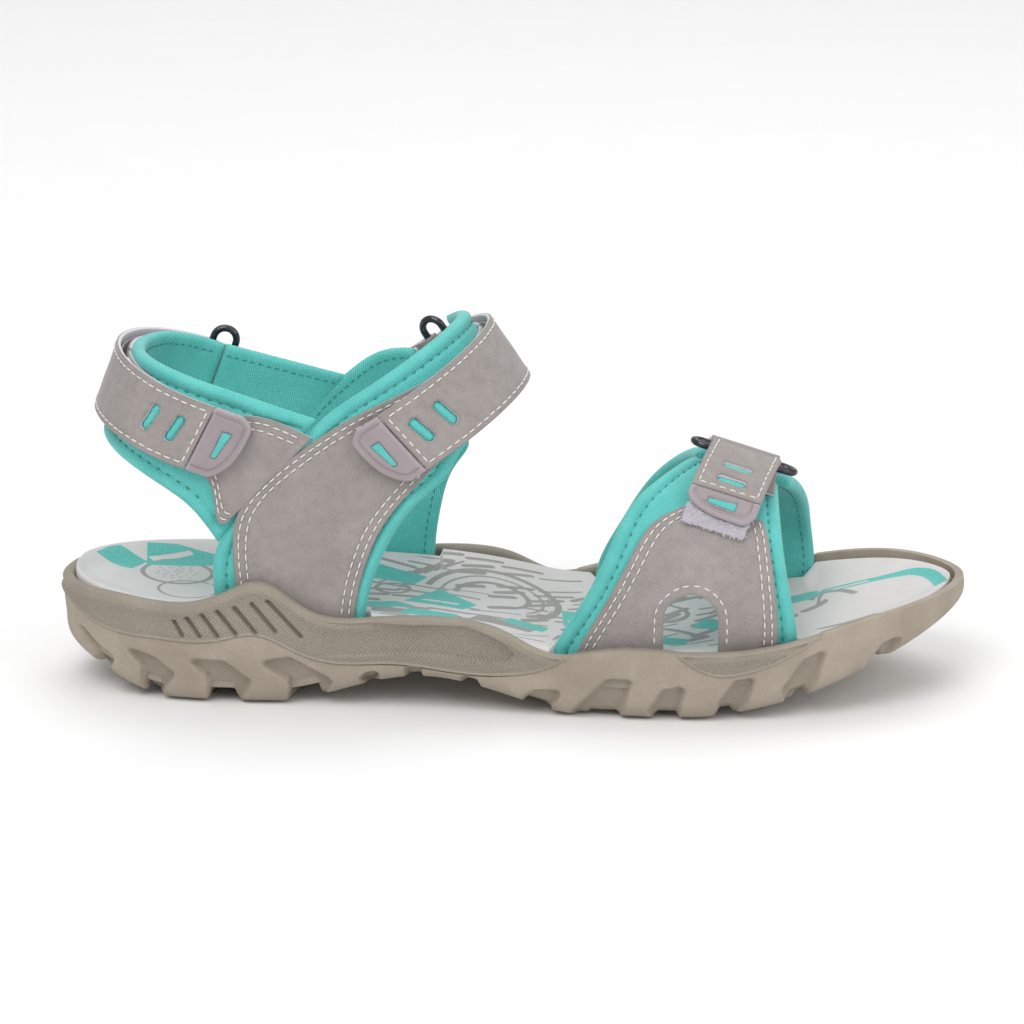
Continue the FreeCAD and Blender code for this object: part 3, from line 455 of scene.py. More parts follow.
def thread_material():
    s = Surface("thread", 0.6, Sheen_Weight=0.3)
    twist = s.noise(0.25, 1)
    s.colour(s.mix(twist, linear(204, 199, 194), linear(240, 238, 234)))
    s.bump((twist, 0.04))
    return s.material


def moulded_material(name, deep, bright, roughness=0.62):
    """Moulded foam or rubber: a fine grain, a knurl where the mesh asks for one with painted highlight on its
    raised rows, and painted shade where the mesh's hollow field asks for it.
    """
    s = Surface(name, roughness, Specular_IOR_Level=0.35)
    clouds, grain, speck = s.noise(14, 4), s.noise(0.9, 3), s.noise(0.35, 1)
    wall = s.add("SeparateXYZ", Vector=s.attribute("wall")["Vector"])
    sway = s.calc("MULTIPLY", s.wave(wall["Y"], 2.6), 0.18)
    knurl = s.calc("MULTIPLY", s.wave(s.calc("ADD", wall["X"], sway), 1.24), s.wave(wall["Y"], 1.3))
    masked = s.calc("MULTIPLY", s.between(knurl, -0.7, 0.7), wall["Z"])
    tone = s.mix(s.between(clouds, 0.1, 0.9), deep, bright)
    tone = s.mix(s.between(grain, 0.35, 0.75, 0.0, 0.4), tone, deep)
    # Painted highlight: the raised knurl rows are paler.
    tone = s.mix(s.calc("MULTIPLY", s.between(masked, 0.0, 1.0), 0.55), tone, bright)
    # Painted shade: the hollow field darkens the colour towards a dark brown in recesses, grooves and where
    # the lugs meet the ground.
    hollow = s.attribute("hollow")["Fac"]
    s.colour(s.mix(s.between(hollow, 0.2, 1.0, 0.0, 0.55), tone, linear(92, 82, 72)))
    s.rough(s.between(grain, 0.2, 0.8, roughness - 0.08, roughness + 0.12))
    s.bump((masked, 0.26), (grain, 0.16), (speck, 0.07))
    return s.material


def tab_material():
    s = Surface("tab_rubber", 0.48, Specular_IOR_Level=0.4)
    clouds, grain = s.noise(7, 3), s.noise(0.6, 2)
    tone = s.mix(clouds, linear(140, 130, 134), linear(162, 151, 155))
    # Paler near the tab's edges: rim is the distance to its nearest edge, in millimetres.
    to_edge = s.attribute("rim")["Fac"]
    s.colour(s.mix(s.between(to_edge, 1.0, 0.3, 0.0, 0.5), tone, linear(178, 168, 172)))
    s.bump((grain, 0.04), (clouds, 0.08))
    return s.material


def tape_material(name, deep, bright):
    s = Surface(name, 0.85, Sheen_Weight=0.5, Sheen_Roughness=0.4)
    fuzz, clouds = s.noise(0.35, 3), s.noise(2.5, 3)
    tone = s.mix(fuzz, deep, bright)
    s.colour(s.mix(s.between(clouds, 0.3, 0.7, 0.0, 0.4), tone, deep))
    s.bump((fuzz, 0.15), (clouds, 0.3))
    return s.material


def ring_material():
    s = Surface("gunmetal", 0.24, Metallic=1.0)
    haze, scratch = s.noise(3, 3), s.noise(0.4, 2, stretch=(1, 1, 0.1))
    s.colour(s.mix(haze, linear(58, 58, 62), linear(98, 98, 104)))
    s.rough(s.between(scratch, 0.3, 0.8, 0.18, 0.38))
    s.bump((scratch, 0.01))
    return s.material


def footbed_material():
    """Off-white textile with a grey and teal print, whose shapes are stored as distances in millimetres."""
    s = Surface("footbed_print", 0.7, Sheen_Weight=0.15, Specular_IOR_Level=0.3)
    path = s.add("SeparateXYZ", Vector=s.attribute("path")["Vector"])
    weave = s.calc("MULTIPLY", s.wave(path["X"], 0.5), s.wave(path["Y"], 0.5))
    clouds, fuzz = s.noise(10, 3), s.noise(0.4, 2)
    ground = s.mix(clouds, linear(200, 196, 195), linear(214, 211, 210))
    grey = s.between(s.attribute("grey_print")["Fac"], -0.12, 0.12, 1.0, 0.0)
    teal = s.between(s.attribute("teal_print")["Fac"], -0.12, 0.12, 1.0, 0.0)
    tone = s.mix(grey, ground, s.mix(clouds, linear(140, 136, 134), linear(156, 152, 150)))
    tone = s.mix(teal, tone, s.mix(fuzz, linear(70, 172, 164), linear(90, 190, 182)))
    s.colour(s.mix(s.between(fuzz, 0.4, 0.8, 0.0, 0.18), tone, linear(226, 224, 224)))
    s.bump((weave, 0.03), (fuzz, 0.04))
    return s.material


def plain_material(name, deep, bright, roughness=0.7):
    s = Surface(name, roughness)
    clouds, grain = s.noise(8, 3), s.noise(0.8, 3)
    s.colour(s.mix(clouds, deep, bright))
    s.bump((grain, 0.1))
    return s.material


NUBUCK = nubuck_material()
BACKING = backing_material()
TEAL = textile_material("teal_cloth", linear(62, 166, 161), linear(118, 216, 209))
THREAD = thread_material()
TEAL_THREAD = plain_material("teal_thread", linear(44, 120, 116), linear(66, 150, 144), 0.6)
MIDSOLE = moulded_material("midsole_foam", linear(142, 133, 121), linear(160, 151, 138))
OUTSOLE = moulded_material("outsole_rubber", linear(150, 139, 125), linear(176, 165, 150), 0.66)
TAB = tab_material()
LOOP_TAPE = tape_material("loop_pile", linear(222, 216, 228), linear(252, 249, 254))
HOOK_TAPE = tape_material("hook_tape", linear(150, 144, 152), linear(184, 178, 186))
RING = ring_material()
FOOTBED_PRINT = footbed_material()
FOOTBED_FOAM = plain_material("footbed_foam", linear(206, 202, 198), linear(224, 221, 218), 0.8)
BOARD = plain_material("board", linear(150, 128, 98), linear(172, 150, 118))
SHANK = plain_material("shank_plastic", linear(40, 40, 44), linear(60, 60, 64), 0.4)


# ---------------------------------------------------------------- sole

LATERAL, MEDIAL = 0, 1
SOLE_LENGTH, SOLE_HALF_WIDTH = 267.5, 47.5
# How thick the soft rim is, and how far in from the wall the tread unit's inside and the foam core lie.
RIM_WALL, CORE_INSET = 3.5, 2.3
# Outlines as (share of the length, share of the half width), and heights as (share of the length, z).
TOE_SHARE = 0.24
OUTER_SIDE = [(0.022, 0.36), (0.085, 0.64), (0.17, 0.755), (0.28, 0.765), (0.39, 0.785), (0.50, 0.88),
              (0.61, 0.975), (0.70, 1.0), (0.79, 0.93), (0.87, 0.765), (0.94, 0.50), (0.985, 0.17)]
INNER_SIDE = [(0.022, 0.36), (0.085, 0.64), (0.17, 0.755), (0.28, 0.765), (0.39, 0.775), (0.50, 0.83),
              (0.60, 0.945), (0.69, 1.0), (0.78, 0.97), (0.87, 0.86), (0.94, 0.70), (0.985, 0.44)]
RIM = [(-0.03, 31), (0.0, 31.5), (0.06, 32.5), (0.11, 31.8), (0.158, 32.6), (0.192, 36), (0.22, 38.8),
       (0.248, 36.6), (0.275, 31.4), (0.303, 28.4), (0.35, 28.5), (0.41, 29.5), (0.463, 28.8), (0.50, 26),
       (0.53, 21.8), (0.556, 20), (0.582, 20.8), (0.62, 22.6), (0.68, 22.4), (0.75, 22.2), (0.82, 24.6),
       (0.87, 27.5), (0.93, 30), (1.03, 31)]
PARTING = [(-0.03, 28), (0.0, 27), (0.04, 22), (0.107, 20), (0.18, 20.3), (0.226, 22.2), (0.263, 17.5),
           (0.296, 14.1), (0.374, 13.8), (0.452, 11.8), (0.507, 12.4), (0.552, 16.4), (0.58, 22),
           (0.605, 27), (0.65, 29), (0.685, 22), (0.72, 15.2), (0.755, 14.6), (0.80, 18.5), (0.84, 25),
           (0.88, 32), (1.03, 36)]
FOOTBED_TOP = [(-0.03, 31.5), (0.04, 30), (0.11, 28.5), (0.26, 27.2), (0.39, 26), (0.50, 22.6),
               (0.56, 19.4), (0.65, 18.4), (0.72, 18.5), (0.81, 21), (0.91, 25.6), (1.03, 29.5)]
POCKET_FLOOR = [(-0.03, 23.4), (0.04, 21.8), (0.11, 20.3), (0.26, 19), (0.39, 17.8), (0.50, 14.4),
                (0.56, 11.2), (0.65, 10.2), (0.72, 10.4), (0.81, 13.4), (0.88, 18), (0.94, 22.6),
                (1.03, 27.6)]
UNDERSIDE = [(-0.03, 14.5), (0.03, 8), (0.075, 2.5), (0.115, 0), (0.16, 0), (0.21, 0), (0.25, 0), (0.30, 3),
             (0.36, 8), (0.41, 9.8), (0.46, 8), (0.51, 4), (0.565, 0), (0.61, 0), (0.66, 0), (0.71, 0),
             (0.775, 2.4), (0.82, 5), (0.865, 9), (0.91, 14), (0.96, 19.6), (1.03, 27)]
STATIONS = 620

# Hollows in the outsole's side between its lugs, as corners (x, z), each over the end of a tread channel.
POCKETS = [
    [(-128.3, 18.7), (-126, 17), (-118.2, 10.6), (-121.5, 6), (-125.6, 11.5)],
    [(-112.5, 15.5), (-105.3, 14.3), (-99.3, 8.6), (-104.6, 2), (-110, 2), (-108.9, 10)],
    [(-93.4, 14), (-84.1, 14.3), (-76.1, 7.2), (-81, -2), (-89.4, -2), (-88.6, 8.7)],
    [(-72.2, 14), (-65, 15.7), (-53.6, 8.9), (-52.1, 7.6), (-55.8, -2), (-64.6, -2), (-64.3, 8.1)],
    [(-43.6, 8), (-42.4, 10.6), (-38.2, 10.8), (-39.2, 8)],
    [(-30.4, 10.4), (-30.2, 12.6), (-25.4, 12.6), (-25.4, 10.4)],
    [(-13.8, 8.2), (-13.4, 10.8), (-8.8, 10), (-8.6, 7.6)],
    [(3.8, 4.4), (8.2, 8.4), (15.2, 8), (13, 3), (11.5, 0), (5, 0)],
    [(18.6, 0.6), (30.2, 13.2), (36.4, 13), (33, 0.2), (30, -2), (23, -2)],
    [(41.6, 2.2), (46.5, 10.4), (52, 11), (51.2, 5), (49.8, -2), (44, -2)],
    [(62.6, 5), (65.3, 10), (68.4, 13.4), (72.4, 13.6), (71.6, 9), (69.8, 4), (67, -1), (63.6, -1)],
    [(81.6, 9), (84.6, 15), (88, 19), (92.8, 20.6), (91.8, 13.5), (89.6, 7), (88, 3), (83.5, 4)],
    [(105.8, 13.4), (108.4, 18), (110.6, 20.6), (114.6, 21.2), (113.2, 15.4), (111, 11), (107, 9)],
]
# Where each tread channel meets the side: (x, half width, height above the underside).
CHANNELS = [(-122.5, 2.4, 3.0), (-107.2, 2.6, 4.6), (-85.2, 4.0, 4.4), (-60.2, 4.3, 4.8), (-40.1, 2.2, 0.5),
            (-28, 2.3, 0.5), (-11, 2.2, 0.5), (8.2, 3.6, 1.5), (27.6, 4.4, 1.1), (47, 3.4, 1.5),
            (64.6, 2.6, 2.0), (86.8, 2.6, 2.2), (109, 2.2, 2.2)]
CHANNEL_SLOPE = math.tan(math.radians(14))
CHANNEL_SOFTNESS, LUG_ROLL, UNDERSIDE_EDGE = 0.9, 2.8, 1.2
POCKET_DEPTH, ARCH_POCKET_DEPTH = 2.3, 3.4
CENTRE_GROOVE_DEPTH, SIPE_DEPTH, RUBBER_THICKNESS = 1.6, 0.9, 4.3
# The slanted grooves on the side of the heel, from (x, z) to (x, z).
GROOVES = [((-98.3, 25.9), (-96, 21.6)), ((-94.4, 27.2), (-90.8, 21.6)), ((-89.9, 28.4), (-85.5, 21.9)),
           ((-85.4, 29.7), (-80, 22.7)), ((-80.3, 30.9), (-74.3, 23.4)), ((-75.2, 32.2), (-68.4, 23.8)),
           ((-70.4, 33.1), (-60.8, 22.2))]
# The long hollow in the side of the arch. It fades out towards the heel.
ARCH_HOLLOW = [(-75, 26.6), (-50, 26.4), (-29.9, 26.6), (-19.2, 27), (-10.6, 26.6), (-4.2, 24.2),
               (0.2, 21.6), (2.4, 19), (1.2, 17.6), (-4.2, 16.8), (-12.2, 17.4), (-25, 17.2), (-50, 17),
               (-75, 17)]
GROOVE_DEPTH, HOLLOW_DEPTH, RIM_ROUND = 1.2, 1.25, 1.4


def profile(points):
    shares, heights = zip(*points)
    curve = spline(shares, heights)
    return lambda x: curve(x / SOLE_LENGTH + 0.5)


rim_height, parting_height = profile(RIM), profile(PARTING)
footbed_height, floor_height = profile(FOOTBED_TOP), profile(POCKET_FLOOR)
underside_curve = profile(UNDERSIDE)


def underside_height(x):
    return np.maximum(underside_curve(x), 0)


def outline_sides():
    """Both sides of the sole's outline, heel to toe, as (points, inward normals, arc lengths)."""
    outer = [((f - 0.5) * SOLE_LENGTH, -g * SOLE_HALF_WIDTH) for f, g in OUTER_SIDE]
    inner = [((f - 0.5) * SOLE_LENGTH, g * SOLE_HALF_WIDTH) for f, g in reversed(INNER_SIDE)]
    heel, tip = (-SOLE_LENGTH / 2, 0), (SOLE_LENGTH / 2, TOE_SHARE * SOLE_HALF_WIDTH)
    ring = np.array([heel] + outer + [tip] + inner)
    overlap, samples = 5, 8001
    closed = np.concatenate([ring[-overlap:], ring, ring[:overlap + 1]])
    chord = distance_along(closed)
    dense = spline(chord, closed)(np.linspace(chord[overlap], chord[-overlap - 1], samples))[:-1]
    dense = np.roll(dense, -np.argmin(dense[:, 0]), axis=0)
    toe = np.argmax(dense[:, 0])
    sides = []
    for line, turn in ((dense[:toe + 1], 1), (np.concatenate([dense[toe:], dense[:1]])[::-1], -1)):
        arc = distance_along(line)
        wanted = np.linspace(0, arc[-1], STATIONS + 1)
        points = np.stack([np.interp(wanted, arc, line[:, k]) for k in (0, 1)], -1)
        tangent = unit(np.gradient(points, axis=0))
        tangent[0], tangent[-1] = (0, -turn), (0, turn)
        normal = np.stack([-tangent[:, 1], tangent[:, 0]], -1) * turn
        sides.append((points, normal, wanted))
    return sides


SIDES = outline_sides()


def wall_inset(z):
    """How far the moulded wall stands in from the outline at a height."""
    return 5 - (z + 1) / 3 + 0.0074 * (z + 1) * (z - 14)


def wall_points(side, z, extra):
    """Points on one side's wall: z and extra, the further inset, have a row for every station."""
    points, normals, _ = SIDES[side]
    inset = (wall_inset(z) + extra)[..., None]
    flat = points[:, None] + normals[:, None] * inset
    return np.concatenate([flat, z[..., None]], -1)


def rows_between(low, high, shares):
    return low[:, None] + (high - low)[:, None] * shares[None]


def wall_feature(x, z, corners, softness=0.7):
    """1 inside an outline with rounded corners on the wall, 0 outside, with a slope between."""
    corner_pull, corner_radius, reach = 1.5, 1.1, 60
    corners = np.array(corners, float)
    pulled = corners + corner_pull * unit(corners.mean(axis=0) - corners)
    near = np.abs(x - corners[:, 0].mean()) < reach
    share = np.zeros(x.shape)
    distance = polygon_distance(x[near], z[near], pulled.tolist()) - corner_radius
    share[near] = smoothstep(softness, -softness, distance)
    return share


def channel_end(x, y, edge_y):
    """The x at which a channel through a point meets the point's own side edge, which is at edge_y."""
    return x - CHANNEL_SLOPE * (np.abs(edge_y) - np.abs(y))


def tread_cut(x, y, edge_y):
    """Height of the tread channels above the underside."""
    cut = np.zeros(x.shape)
    for spot, half, height in CHANNELS:
        distance = np.abs(channel_end(x, y, edge_y) - spot)
        share = smoothstep(half + CHANNEL_SOFTNESS, half - CHANNEL_SOFTNESS, distance)
        cut = np.maximum(cut, height * share)
    return cut


def outsole():
    """The rubber tread unit, with lugs, channels and the pockets at their ends."""
    shares = np.linspace(0, 1, 66) ** 1.1
    halves, wall_shades, walls, inner = [], [], [], []
    for side, (points, _, arc) in enumerate(SIDES):
        x, y = points[:, 0], points[:, 1]
        top = np.minimum(parting_height(x), rim_height(x) - 0.1)
        bottom = underside_height(x) + tread_cut(x, y, y)
        z = rows_between(bottom, top, shares)
        wide = np.broadcast_to(x[:, None], z.shape)
        carved = np.zeros(z.shape)
        for corners in POCKETS:
            in_arch = corners[0][0] < 0 and corners[0][1] < 13
            depth = ARCH_POCKET_DEPTH if in_arch else POCKET_DEPTH
            carved = np.maximum(carved, depth * wall_feature(wide, z, corners))
        low = z - bottom[:, None]
        rolled = LUG_ROLL * (1 - rounded(low, LUG_ROLL))
        swell = -0.5 * ridge(low - 4, 3) * (carved < 0.1)
        halves.append(wall_points(side, z, carved + rolled + swell))
        # Painted shade on the side wall: darker in the pockets and just above the underside, where the lugs
        # meet the ground.
        wall_shades.append(np.clip(carved / POCKET_DEPTH, 0, 1) * 0.5 + ridge(low, 1.2) * 0.25)
        walls.append(np.stack([np.broadcast_to(arc[:, None], z.shape), z, np.zeros(z.shape)], -1))
        core_low = np.minimum(underside_height(x) + RUBBER_THICKNESS, top - 0.5)
        core = np.stack([top, core_low], 1)
        inner.append(wall_points(side, core, np.full(core.shape, CORE_INSET)))

    lateral, medial = halves
    across = np.linspace(0, 1, 77)[None, 1:-1]
    a, b = lateral[:, :1], medial[:, :1]
    bottom = a + (b - a) * across[..., None]
    x, y = bottom[..., 0], bottom[..., 1]
    edge = np.where((across < 0.5)[..., None], a, b)
    centre_groove = CENTRE_GROOVE_DEPTH * smoothstep(1.8, 0.8, np.abs(y - 1)) * (np.abs(x) < 112)
    sipes = np.zeros(x.shape)
    spots = [spot for spot, _, _ in CHANNELS]
    for near, far in zip(spots, spots[1:]):
        distance = np.abs(channel_end(x, y, edge[..., 1]) - (near + far) / 2)
        sipes = np.maximum(sipes, SIPE_DEPTH * smoothstep(1.0, 0.5, distance))
    sipes *= (np.abs(y) > 6) & (np.abs(y) < np.abs(edge[..., 1]) - 6)
    from_edge = np.minimum(across, 1 - across) * np.abs(b - a)[..., 1]
    carve = np.maximum(np.maximum(tread_cut(x, y, edge[..., 1]), centre_groove), sipes)
    carve = carve * smoothstep(0, UNDERSIDE_EDGE, from_edge)
    edge_cut = edge[..., 2] - underside_height(a[..., 0])
    carve = np.maximum(carve, edge_cut * smoothstep(UNDERSIDE_EDGE, 0, from_edge))
    bottom[..., 2] = underside_height(x) + carve
    # Painted shade on the underside: darker in the channels, the centre groove and the sipes.
    underside_shade = np.clip(carve / 3, 0, 1)

    ring = np.concatenate([inner[0][:, ::-1], lateral[:, ::-1], bottom, medial, inner[1]], 1)
    unmarked = np.zeros((len(ring), 2))
    # Every point's painted shade, stored as the hollow field.
    hollow = np.concatenate([unmarked, wall_shades[0][:, ::-1], underside_shade, wall_shades[1], unmarked], 1)
    flat_wall = np.stack([x, y, np.zeros(x.shape)], -1)
    empty = np.zeros((len(ring), 2, 3))
    wall = np.concatenate([empty, walls[0][:, ::-1], flat_wall, walls[1], empty], 1)
    return close_ring("outsole_tread", ring, hollow, wall, OUTSOLE, "outsole")


def close_ring(name, ring, hollow, wall, material, node):
    """A closed mesh from one ring of points at each station from heel to toe, with hollow, its painted shade,
    and wall, its knurl coordinates, as fields on the points.
    """
    count = ring.shape[1]
    index = np.arange(ring.shape[0] * count).reshape(ring.shape[:2])
    index = np.concatenate([index, index[:, :1]], 1)
    return make(name, ring.reshape(-1, 3), grid_faces(index), [material], slot=node, stands_for=[node],
                hollow=hollow.ravel(), wall=wall.reshape(-1, 3))


def midsole():
    """The foam midsole: a wall with grooves and a long hollow, a soft rim, and the footbed's pocket."""
    rim_turn = np.linspace(0, math.pi, 13)[None]
    shares = np.linspace(0, 1, 62)
    parts = []
    for side in (LATERAL, MEDIAL):
        x, arc = SIDES[side][0][:, 0], SIDES[side][2]
        heel_drop = 2.6 * smoothstep(-45, -75, x) * smoothstep(-133, -118, x)
        ball_drop = 4.0 * smoothstep(60, 90, x) - 1.4 * smoothstep(112, 133, x)
        toe_drop = 2.6 * smoothstep(105, 133, x)
        rim = rim_height(x) - (toe_drop if side == LATERAL else heel_drop + ball_drop)
        start = np.minimum(parting_height(x) + 0.05, rim - 0.05)
        covered = smoothstep(-0.3, 0.3, parting_height(x) - rim)[:, None]
        first = covered * CORE_INSET
        radius = (RIM_WALL - first) / 2
        z = rows_between(start, np.maximum(rim - RIM_ROUND, start + 0.01), shares)
        wide = np.broadcast_to(x[:, None], z.shape)
        grooves = np.zeros(z.shape)
        for ends in GROOVES:
            distance = segment_distance(wide, z, *ends)
            grooves = np.maximum(grooves, GROOVE_DEPTH * smoothstep(0.85, 0.3, distance))
        hollow = wall_feature(wide, z, ARCH_HOLLOW, 0.4) * smoothstep(-62, -26, wide)
        up = z - start[:, None]
        bead = 0.55 * ridge(up - 0.5, 0.38) * (1 - covered)
        band = 0.5 * ridge(rim[:, None] - z - 2.6, 2.6)
        middle = (rim + start)[:, None] / 2
        waist = 0.55 * ridge((z - middle) / np.maximum(rim - start, 2)[:, None], 0.35)
        outer = wall_points(side, z, first + grooves + HOLLOW_DEPTH * hollow - bead - band + waist)
        turn_z = (rim - RIM_ROUND)[:, None] + RIM_ROUND * np.sin(rim_turn)
        turn_in = first + radius * (1 - np.cos(rim_turn)) - band[:, -1:] * (1 + np.cos(rim_turn)) / 2
        over = wall_points(side, turn_z, turn_in)
        foot = np.stack([np.maximum(footbed_height(x) - 2, floor_height(x) + 0.5), floor_height(x)], 1)
        straight = RIM_WALL - wall_inset(foot) + wall_inset((rim - RIM_ROUND)[:, None])
        down = wall_points(side, foot, straight)
        core_top = start[:, None] - 0.01
        core_low = np.minimum(underside_height(x)[:, None] + RUBBER_THICKNESS + 0.2, start[:, None] - 0.4)
        core_z = np.concatenate([core_low, core_top], 1)
        core = wall_points(side, core_z, np.full(core_z.shape, CORE_INSET + 0.1))
        line = np.concatenate([core, outer, over[:, 1:], down], 1)
        on_wall = np.s_[:, core.shape[1]:core.shape[1] + z.shape[1]]
        painted_shade, knurl = np.zeros(line.shape[:2]), np.zeros(line.shape[:2])
        # Painted shade on the wall: darker in the slanted grooves, slightly in the arch hollow, and along the
        # parting line against the outsole.
        painted_shade[on_wall] = np.clip(grooves * 0.85 + hollow * 0.12 + ridge(up, 0.3) * 0.3, 0, 1)
        below_rim = smoothstep(1.6, 3.4, rim[:, None] - z)
        knurl[on_wall] = below_rim * smoothstep(0.9, 1.4, up) * (1 - grooves / GROOVE_DEPTH)
        coordinates = np.stack([np.broadcast_to(arc[:, None], line.shape[:2]), line[..., 2], knurl], -1)
        parts.append((line, painted_shade, coordinates))
    across = np.linspace(0, 1, 12)[1:-1]
    a, b = parts[0][0][:, -1:], parts[1][0][:, -1:]
    pocket = a + (b - a) * across[None, :, None]
    pocket[..., 2] = floor_height(pocket[..., 0])
    blank = np.zeros(pocket.shape[:2])
    ring = np.concatenate([parts[0][0], pocket, parts[1][0][:, ::-1]], 1)
    # Every point's painted shade, stored as the hollow field.
    hollow = np.concatenate([parts[0][1], blank, parts[1][1][:, ::-1]], 1)
    wall = np.concatenate([parts[0][2], np.zeros(pocket.shape), parts[1][2][:, ::-1]], 1)
    return close_ring("midsole_foam", ring, hollow, wall, MIDSOLE, "midsole")


outsole()
midsole()


# ---------------------------------------------------------------- footbed

# Where the upper goes down between the footbed and the rim: (side, first x, last x, half width left free).
# None stands for the half width of the forefoot lining.
UPPER_SLOTS = [(LATERAL, -90.5, -41, 27.4), (MEDIAL, -84, -23.5, 27.4), (LATERAL, 13, 87, None),
               (MEDIAL, 23, 92, None)]


def forefoot_base(x):
    """Half width of the forefoot lining where it meets the sole."""
    return 41.1 - 5.5 * ((x - 45.5) / 35) ** 2


def footbed_edge(side):
    """The footbed's edge at every station, as distance in from the outline."""
    points, normals, _ = SIDES[side]
    inset = np.full(len(points), RIM_WALL + 0.25) + wall_inset(30.0)
    for where, first, last, half in UPPER_SLOTS:
        if where == side:
            x, y = points[:, 0], np.abs(points[:, 1])
            limit = forefoot_base(x) - 3.9 if half is None else np.full(len(x), half)
            needed = (y - limit) / np.maximum(np.abs(normals[:, 1]), 0.6)
            within = smoothstep(first - 0.8, first + 0.2, x) * smoothstep(last + 0.8, last - 0.2, x)
            inset = inset + np.maximum(needed - inset, 0) * within
    return inset


# The footbed's print, in millimetres: plain generic shapes. Rings are (x, y, radius, width), strokes are
# (points, width), and rows of dashes are (count, first start, step, reach, half width).
GREY_RINGS = [(-102, 8, 10.6, 1.5), (-97, -8, 9, 0.9), (-36, 0, 5, 1.4), (44, 4, 9, 1.6)]
ARC_CENTRE, ARCS = (-6, 2), [(20, 2.2), (15.5, 1.0), (11, 1.8)]
GREY_STROKES = [
    ([(-84, 6), (-72, 14), (-60, 10), (-52, 16)], 1.6),
    ([(-70, -18), (-60, -10), (-50, -14), (-44, -6)], 1.2),
    ([(14, -30), (22, -18), (34, -22), (44, -12), (56, -18)], 2.4),
    ([(18, 12), (30, 20), (44, 14), (58, 22), (70, 14)], 2.0),
    ([(88, -4), (94, 3), (90, 9), (97, 12), (103, 7)], 2.6), ([(60, -30), (72, -26), (84, -31)], 1.8),
]
GREY_DASHES = [(6, (-40, 6), (3.2, 2.2), (8, 9), 0.55), (5, (4, -4), (4.5, -3.5), (7.5, 1.5), 0.8),
               (4, (60, 4), (5, 0), (4, 8), 0.6)]
GREY_BLOCKS = [
    [(-44, -25), (-30, -27), (-27, -21), (-41, -18.5)], [(-12, -24), (6, -27), (9, -22), (-9, -19)],
    [(90, -24), (108, -21), (111, -25.5), (98, -28)],
]
TEAL_STROKE = ([(84, 10), (98, 14), (112, 18), (121, 18.5), (127, 12), (129, 2)], 4.0)
TEAL_BLOCKS = [
    [(-127, 10), (-116, 8), (-112, 15), (-122, 19)],
    [(-113, 24), (-104, 26), (-88, 23), (-90, 17.5), (-112, 13)],
    [(-84, -6), (-76, -12), (-68, -6), (-76, 1)], [(-88, 12), (-66, 8), (-64, 14), (-86, 20)],
    [(-64, -4), (-48, -8), (-46, 2), (-60, 4)],
    [(-52, -22), (-38, -20), (-28, -17), (-34, -13), (-50, -17)],
    [(-46, 10), (-30, 5), (-26, 12), (-42, 19)], [(-32, -12), (-14, -16), (-10, -10), (-22, 2)],
    [(-33, -25), (-17, -28), (-15, -21.5), (-30, -19)], [(-2, -22), (10, -24), (12, -18.5), (0, -17)],
    [(16, -14), (31, -12), (29, 3), (15, 1)], [(36, -26), (52, -29), (54, -22), (40, -18)],
    [(54, -10), (66, -14), (70, -6), (58, -1)], [(28, 22), (52, 26), (50, 32), (30, 29)],
    [(82, 5), (93, 8), (92, 15), (82, 12.5)],
]
TEAL_CUTS = [
    [(-27, -10), (-16, -12), (-15, -10.6), (-26, -8.6)], [(17, -9), (29, -7.6), (29, -6), (17, -7.4)],
    [(-112, 17.5), (-100, 24), (-98.5, 22.6), (-110, 15.8)], [(-62, -2), (-50, -4.4), (-50, -2.6), (-61, 0)],
    [(94, 11.8), (108, 16.2), (107.6, 17.4), (93.6, 13.2)],
]
NO_PRINT = 50.0


def print_shapes(x, y):
    """Distances to the footbed's printed shapes, grey and teal, negative inside."""

    def nearest(distances):
        least = np.full(x.shape, NO_PRINT)
        for distance in distances:
            least = np.minimum(least, distance)
        return least

    def stroke(line, width):
        curve = through(line)(np.linspace(0, 1, 25))
        return nearest(segment_distance(x, y, *ends) for ends in zip(curve, curve[1:])) - width / 2

    def ring(cx, cy, radius, width):
        return np.abs(np.hypot(x - cx, y - cy) - radius) - width / 2

    def dash(start, reach, half_width):
        return segment_distance(x, y, start, np.add(start, reach)) - half_width

    grey = [ring(*shape) for shape in GREY_RINGS]
    grey += [stroke(*shape) for shape in GREY_STROKES]
    grey += [polygon_distance(x, y, corners) for corners in GREY_BLOCKS]
    grey += [np.maximum(ring(*ARC_CENTRE, *shape), -(x + 2 * y + 14) / 2.2) for shape in ARCS]
    grey.append(np.hypot(x - 84, y + 7) - 2.2)
    for count, first, step, reach, half_width in GREY_DASHES:
        grey += [dash(np.add(first, np.multiply(step, k)), reach, half_width) for k in range(count)]
    for k in range(26):
        turn, out = 2.4 * k, 1.35 * math.sqrt(k)
        start = (-102 + out * math.cos(turn), 8 + out * math.sin(turn))
        grey.append(dash(start, (0.9 * math.cos(k), 0.5), 0.3))
    for k in range(120):
        middle = np.array((-84 + 150 * (0.618 * k % 1), -36 + 70 * ((0.414 * k + 0.13) % 1)))
        turn = 0.35 + 0.5 * math.sin(0.045 * middle[0]) + 0.2 * math.sin(1.7 * k)
        half = (3 + 5 * (0.27 * k % 1)) * np.array((math.cos(turn), math.sin(turn)))
        grey.append(dash(middle - half, 2 * half, 0.35 + 1.1 * (0.73 * k % 1)))

    teal = nearest([stroke(*TEAL_STROKE)] + [polygon_distance(x, y, corners) for corners in TEAL_BLOCKS])
    for corners in TEAL_CUTS:
        teal = np.maximum(teal, -polygon_distance(x, y, corners))
    return nearest(grey), teal


